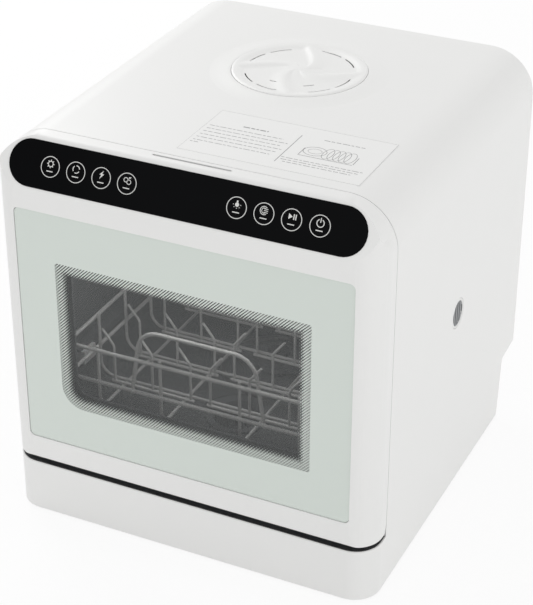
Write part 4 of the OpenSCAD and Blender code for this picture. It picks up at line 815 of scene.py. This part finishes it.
def wordBars(left, right, y, tall, first):  # a row of short bars of uneven length
    x, count, bars = left, first, []
    while x < right:
        wide = min(label["words"][count % len(label["words"])], right - x)
        bars.append(bar(x + wide / 2, y, wide, tall))
        x, count = x + wide + label["gap"], count + 1
    return bars


def ovalPoints(x, y, wide, tall, line):  # an oval ring in two halves
    halves, steps = [], label["ovalSteps"]
    for start in (0, math.pi):
        turns = [start + math.pi * k / steps for k in range(steps + 1)]
        outer = [(x + wide * math.cos(a), y + tall * math.sin(a)) for a in turns]
        turns.reverse()
        inner = [(x + (wide - line) * math.cos(a), y + (tall - line) * math.sin(a)) for a in turns]
        halves.append(outer + inner)
    return halves


def labelShapes():
    left, right, front, rear = (label[key] for key in ("left", "right", "front", "rear"))
    tall, hair, inset = label["tall"], label["hair"], label["hairInset"]
    drawn = wordBars(*label["heading"], 2)
    for row, end in enumerate(label["rowEnds"]):
        y = label["rowStart"] - row * label["rowStep"]
        drawn += wordBars(label["rowLeft"], end, y, tall, row * 3)
    drawn += wordBars(*label["lastRow"], tall, 4) + wordBars(*label["caption"], 5)
    for row, (start, end) in enumerate(label["noteRows"]):
        y = label["noteStart"] - row * label["noteStep"]
        drawn += wordBars(start, end, y, tall, row * 4 + 1)
    for x in label["plates"]:
        drawn += ovalPoints(x, label["plateY"], *label["plateOval"])
    for oval in label["bowlOvals"]:
        drawn += ovalPoints(label["bowlX"], label["plateY"], *oval)
    drawn += [bar(*piece) for piece in label["stand"]]
    drawn += [bar((right + left) / 2, y, right - left, hair) for y in (front + inset, rear - inset)]
    drawn += [bar(x, (rear + front) / 2, hair, rear - front) for x in (left + inset, right - inset)]
    drawn.append(bar(*label["divide"]))
    return drawn


def makeLabel():
    across, deep = label["right"] - label["left"], label["rear"] - label["front"]
    midX, midY = (label["right"] + label["left"]) / 2, (label["rear"] + label["front"]) / 2
    back = machine["depth"] / 2
    sheet = bar(midX, midY - back, across, deep)
    film = outline("topLabel", sheet, label["film"], (0, 0, machine["top"]))
    place = (0, -back, machine["top"] + label["film"] - label["sink"])
    thick = label["ink"] + label["sink"]
    lines = [outline("line", points, thick, place) for points in labelShapes()]
    return film, gather("labelLines", lines)


labelSheet, labelLines = makeLabel()
fix(labelSheet, "cabinet", labelFilm)
fix(labelLines, "cabinet", labelInk)
print("label made")


# Fill cap: a soft pinwheel with arc slots between its arms
cap = {"radius": 74, "low": 452.3, "crest": 3.0, "valley": 0.5, "rings": 44, "around": 144,
       "armTurn": 17, "armBulge": 13, "armBend": 0.6, "armSteep": 5.5, "armGentle": 11,
       "armStart": 12, "hub": 19,
       "rimWide": 10, "rimSoft": 1.8, "edgeWide": 1.4, "edgeDrop": 1.0, "edgeDeep": 4,
       "ventRadius": 59.5, "ventWide": 1.5, "vents": ((45, 24), (77, 26)), "ventSteps": 10,
       "ventCut": 12,
       "innerRadius": 42, "innerVents": ((252, 13), (308, 16)),
       "skirtOuter": 65.4, "skirtInner": 63, "skirtDeep": 5, "skirtUp": 0.4, "skirtCut": (440, 460),
       "skirtSides": 96}


def clamp(value):
    return min(1, max(0, value))


def capHeight(x, y):  # four arms that leave the hub sideways, steep on one side
    r, share = math.hypot(x, y), 0
    for turn in range(4):
        a = math.radians(cap["armTurn"] + 90 * turn)
        u = x * math.cos(a) + y * math.sin(a)
        bow = math.sin(math.pi * clamp(u / cap["radius"]) ** cap["armBend"])
        off = -x * math.sin(a) + y * math.cos(a) + cap["armBulge"] * bow
        wide = cap["armSteep"] if off > 0 else cap["armGentle"]
        start = clamp((u + cap["armStart"]) / cap["armStart"])
        share = max(share, math.exp(-(off / wide) ** 2) * start)
    rim = 1 / (1 + math.exp(-(r - (cap["radius"] - cap["rimWide"])) / cap["rimSoft"]))
    share = max(share, rim, math.exp(-(r / cap["hub"]) ** 2))
    drop = max(0, (r - (cap["radius"] - cap["edgeWide"])) / cap["edgeWide"])
    return cap["valley"] + (cap["crest"] - cap["valley"]) * share - cap["edgeDrop"] * drop * drop


def makeCapTop():  # a grid rolled up into a disc, with its edge drawn down and closed below
    bpy.ops.object.select_all(action="DESELECT")
    bpy.ops.mesh.primitive_grid_add(x_subdivisions=cap["around"], y_subdivisions=cap["rings"],
                                    size=1)
    piece = added("ventCap")
    for vertex in piece.data.vertices:
        turn, r = (vertex.co.x + 0.5) * math.tau, (vertex.co.y + 0.5) * cap["radius"]
        x, y = r * math.cos(turn), r * math.sin(turn)
        vertex.co = at(x, y + casing["capY"], cap["low"] + capHeight(x, y))
    alone(piece)
    bpy.ops.object.mode_set(mode="EDIT")
    bpy.ops.mesh.select_all(action="SELECT")
    bpy.ops.mesh.remove_doubles(threshold=weld)
    centre, low = at(0, casing["capY"], 0), cap["low"] * mm
    onRim = lambda p: math.hypot(p.x - centre.x, p.y - centre.y) > cap["radius"] * mm - 5 * weld
    pickEdges(piece, lambda a, b: onRim(a) and onRim(b))
    down = {"value": (0, 0, -cap["edgeDeep"] * mm)}
    bpy.ops.mesh.extrude_region_move(TRANSFORM_OT_translate=down)
    bpy.ops.object.mode_set(mode="OBJECT")
    for vertex in piece.data.vertices:
        if vertex.co.z < low + cap["valley"] * mm and onRim(vertex.co):
            vertex.co.z = low
    pickEdges(piece, lambda a, b: same(a.z, low) and same(b.z, low))
    bpy.ops.mesh.edge_face_add()
    bpy.ops.mesh.select_all(action="SELECT")
    bpy.ops.mesh.normals_make_consistent(inside=False)
    bpy.ops.object.mode_set(mode="OBJECT")
    return piece


def makeCap():
    piece, y, low = makeCapTop(), casing["capY"], cap["low"]
    vents = [(cap["ventRadius"], turn + middle, sweep)
             for turn in range(0, 360, 90) for middle, sweep in cap["vents"]]
    vents += [(cap["innerRadius"], *vent) for vent in cap["innerVents"]]
    for radius, middle, sweep in vents:
        points = ribbon(radius, cap["ventWide"], middle - sweep / 2, sweep, cap["ventSteps"])
        blade = outline("blade", points, cap["ventCut"])
        blade.location = at(0, y, low - cap["ventCut"] / 2)
        fuse(piece, settle(blade))
    (start, end), sides = cap["skirtCut"], cap["skirtSides"]
    skirt = drum("skirt", (0, y, low - cap["skirtDeep"]), (0, y, low + cap["skirtUp"]),
                 cap["skirtOuter"], sides)
    fuse(skirt, drum("skirtRoom", (0, y, start), (0, y, end), cap["skirtInner"], sides))
    return smooth(gather("ventCap", [piece, skirt]), 40)


# Its profile is a list of radius and height, from the inner foot over the crest to the outer foot
collar = {"steps": 144,
          "profile": [(74.4, 451.6), (74.4, 453.9), (74.9, 454.2), (78.0, 454.0), (83.0, 453.4),
                                    (88.0, 452.8), (93.0, 452.3), (98.0, 452.02), (98.0, 451.6)]}


def makeCollar():  # the soft rise of the cabinet's top up to the cap's edge
    profile = collar["profile"]
    bpy.ops.object.select_all(action="DESELECT")
    bpy.ops.mesh.primitive_circle_add(vertices=len(profile), radius=1, fill_type="NOTHING")
    ring = added("capCollar")
    for vertex, (r, z) in zip(ring.data.vertices, profile):
        vertex.co = at(r, casing["capY"], z)
    alone(ring)
    bpy.ops.object.mode_set(mode="EDIT")
    bpy.ops.mesh.select_all(action="SELECT")
    bpy.ops.mesh.spin(steps=collar["steps"], angle=math.tau,
                      center=at(0, casing["capY"], 0), axis=(0, 0, 1))
    bpy.ops.mesh.select_all(action="SELECT")
    bpy.ops.mesh.remove_doubles(threshold=weld)
    bpy.ops.mesh.normals_make_consistent(inside=False)
    bpy.ops.object.mode_set(mode="OBJECT")
    return smooth(ring, 50)


fix(makeCap(), "fill_cap", whiteShell, ["fill_cap"])
fix(makeCollar(), "cabinet", whiteShell)
print("fill cap made")


# Vent grille of the drying fan in the right wall
grille = {"radius": 16.9, "inner": 212.4, "open": 14.5, "press": 0.05, "sink": 0.6, "slot": 3.7,
          "slotRim": 0.8,
          "pitch": 6, "ringEdge": 0.35, "barEdge": 0.3, "sides": 64}


def makeGrille():
    y, z, sides = casing["grilleY"], casing["grilleZ"], grille["sides"]
    outer, (start, end) = machine["width"] / 2, beyond["side"]
    ring = drum("grilleRing", (grille["inner"], y, z), (outer, y, z), grille["radius"], sides)
    fuse(ring, drum("grilleOpening", (start, y, z), (end, y, z), grille["open"], sides))
    disc = drum("sideGrille", (grille["inner"], y, z), (outer - grille["sink"], y, z),
                grille["open"] + grille["press"], sides)
    for count in range(-2, 3):
        middle, half = count * grille["pitch"], grille["slot"] / 2
        tall = math.sqrt((grille["open"] - grille["slotRim"]) ** 2 - middle ** 2)
        fuse(disc, block("slot", (start, y + middle - half, z - tall),
                         (end, y + middle + half, z + tall)))
    return soften(ring, grille["ringEdge"]), soften(disc, grille["barEdge"])


grilleRing, grilleBars = makeGrille()
fix(grilleRing, "cabinet", whiteShell)
fix(grilleBars, "cabinet", greyPlastic, ["side_grille"])
print("grille made")


# Circuit boards
board = {"mask": (0.02, 0.13, 0.06), "maskShade": (0.012, 0.09, 0.04),
         "track": (0.05, 0.22, 0.10, 1), "trackScale": 120}


def boardMaterial():  # solder mask with copper tracks under it
    made = material(
        "circuitBoard", moulded, (0.1, 0.05), {"Coat Weight": 0.3},
        Colour=board["mask"], Shade=board["maskShade"],
        Drift=0.5, Rough=0.3, Spread=0.1, Grain=300.0)
    nodes, links, base, colour = underColour(made)
    tracks = nodes.new("ShaderNodeTexBrick")
    tracks.inputs["Scale"].default_value = board["trackScale"]
    links.new(nodes.new("ShaderNodeTexCoord").outputs["Object"], tracks.inputs["Vector"])
    links.new(mixNode(nodes, links, tracks.outputs["Fac"], colour, board["track"]), base)
    return made


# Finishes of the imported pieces
finishes = [
    (rearPlastic, ["rear_panel"]),
    (whiteShell, ["fill_port"]),
    (tubPlastic, ["tub", "guide_rail_left", "guide_rail_right"]),
    (linerPlastic, ["door_liner"]),
    (tubTrim, ["spray_arm", "filter_cup", "filter_plate"]),
    (greyPlastic, ["base_tray"]),
    (palePlastic, ["rack_glides", "water_tank", "fill_hose", "drain_hose", "inlet_valve",
                   "tub_lamp", "door_catch"]),
    (darkPlastic, ["sump", "spray_post", "spray_nut", "wash_pump_housing", "drain_pump_housing",
                   "drain_spigot", "fan_housing", "grip_pocket", "hinge_block_left",
                   "hinge_block_right", "sill_strip", "wash_impeller", "drain_impeller",
                   "fan_impeller", "cord_gland"]),
    (rubber, ["foot_front_left", "foot_front_right", "foot_rear_left", "foot_rear_right",
              "tub_gasket"]),
    (wireCoat, ["rack_front", "rack_rear", "rack_left", "rack_right", "rack_floor", "rack_tines",
                "rack_handle"]),
    (steel, ["hinge_arm_left", "hinge_arm_right", "door_strike", "heater_element"]),
    (motorMetal, ["wash_pump_motor", "drain_pump_motor", "fan_motor"]),
    (boardMaterial(), ["power_board", "touch_board"]),
    (smokedPane, ["inner_pane"]),
]
for finish, nodeNames in finishes:
    for nodeName in nodeNames:
        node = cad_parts[nodeName]
        node.data.materials.clear()
        node.data.materials.append(finish)
print("packed pieces finished")
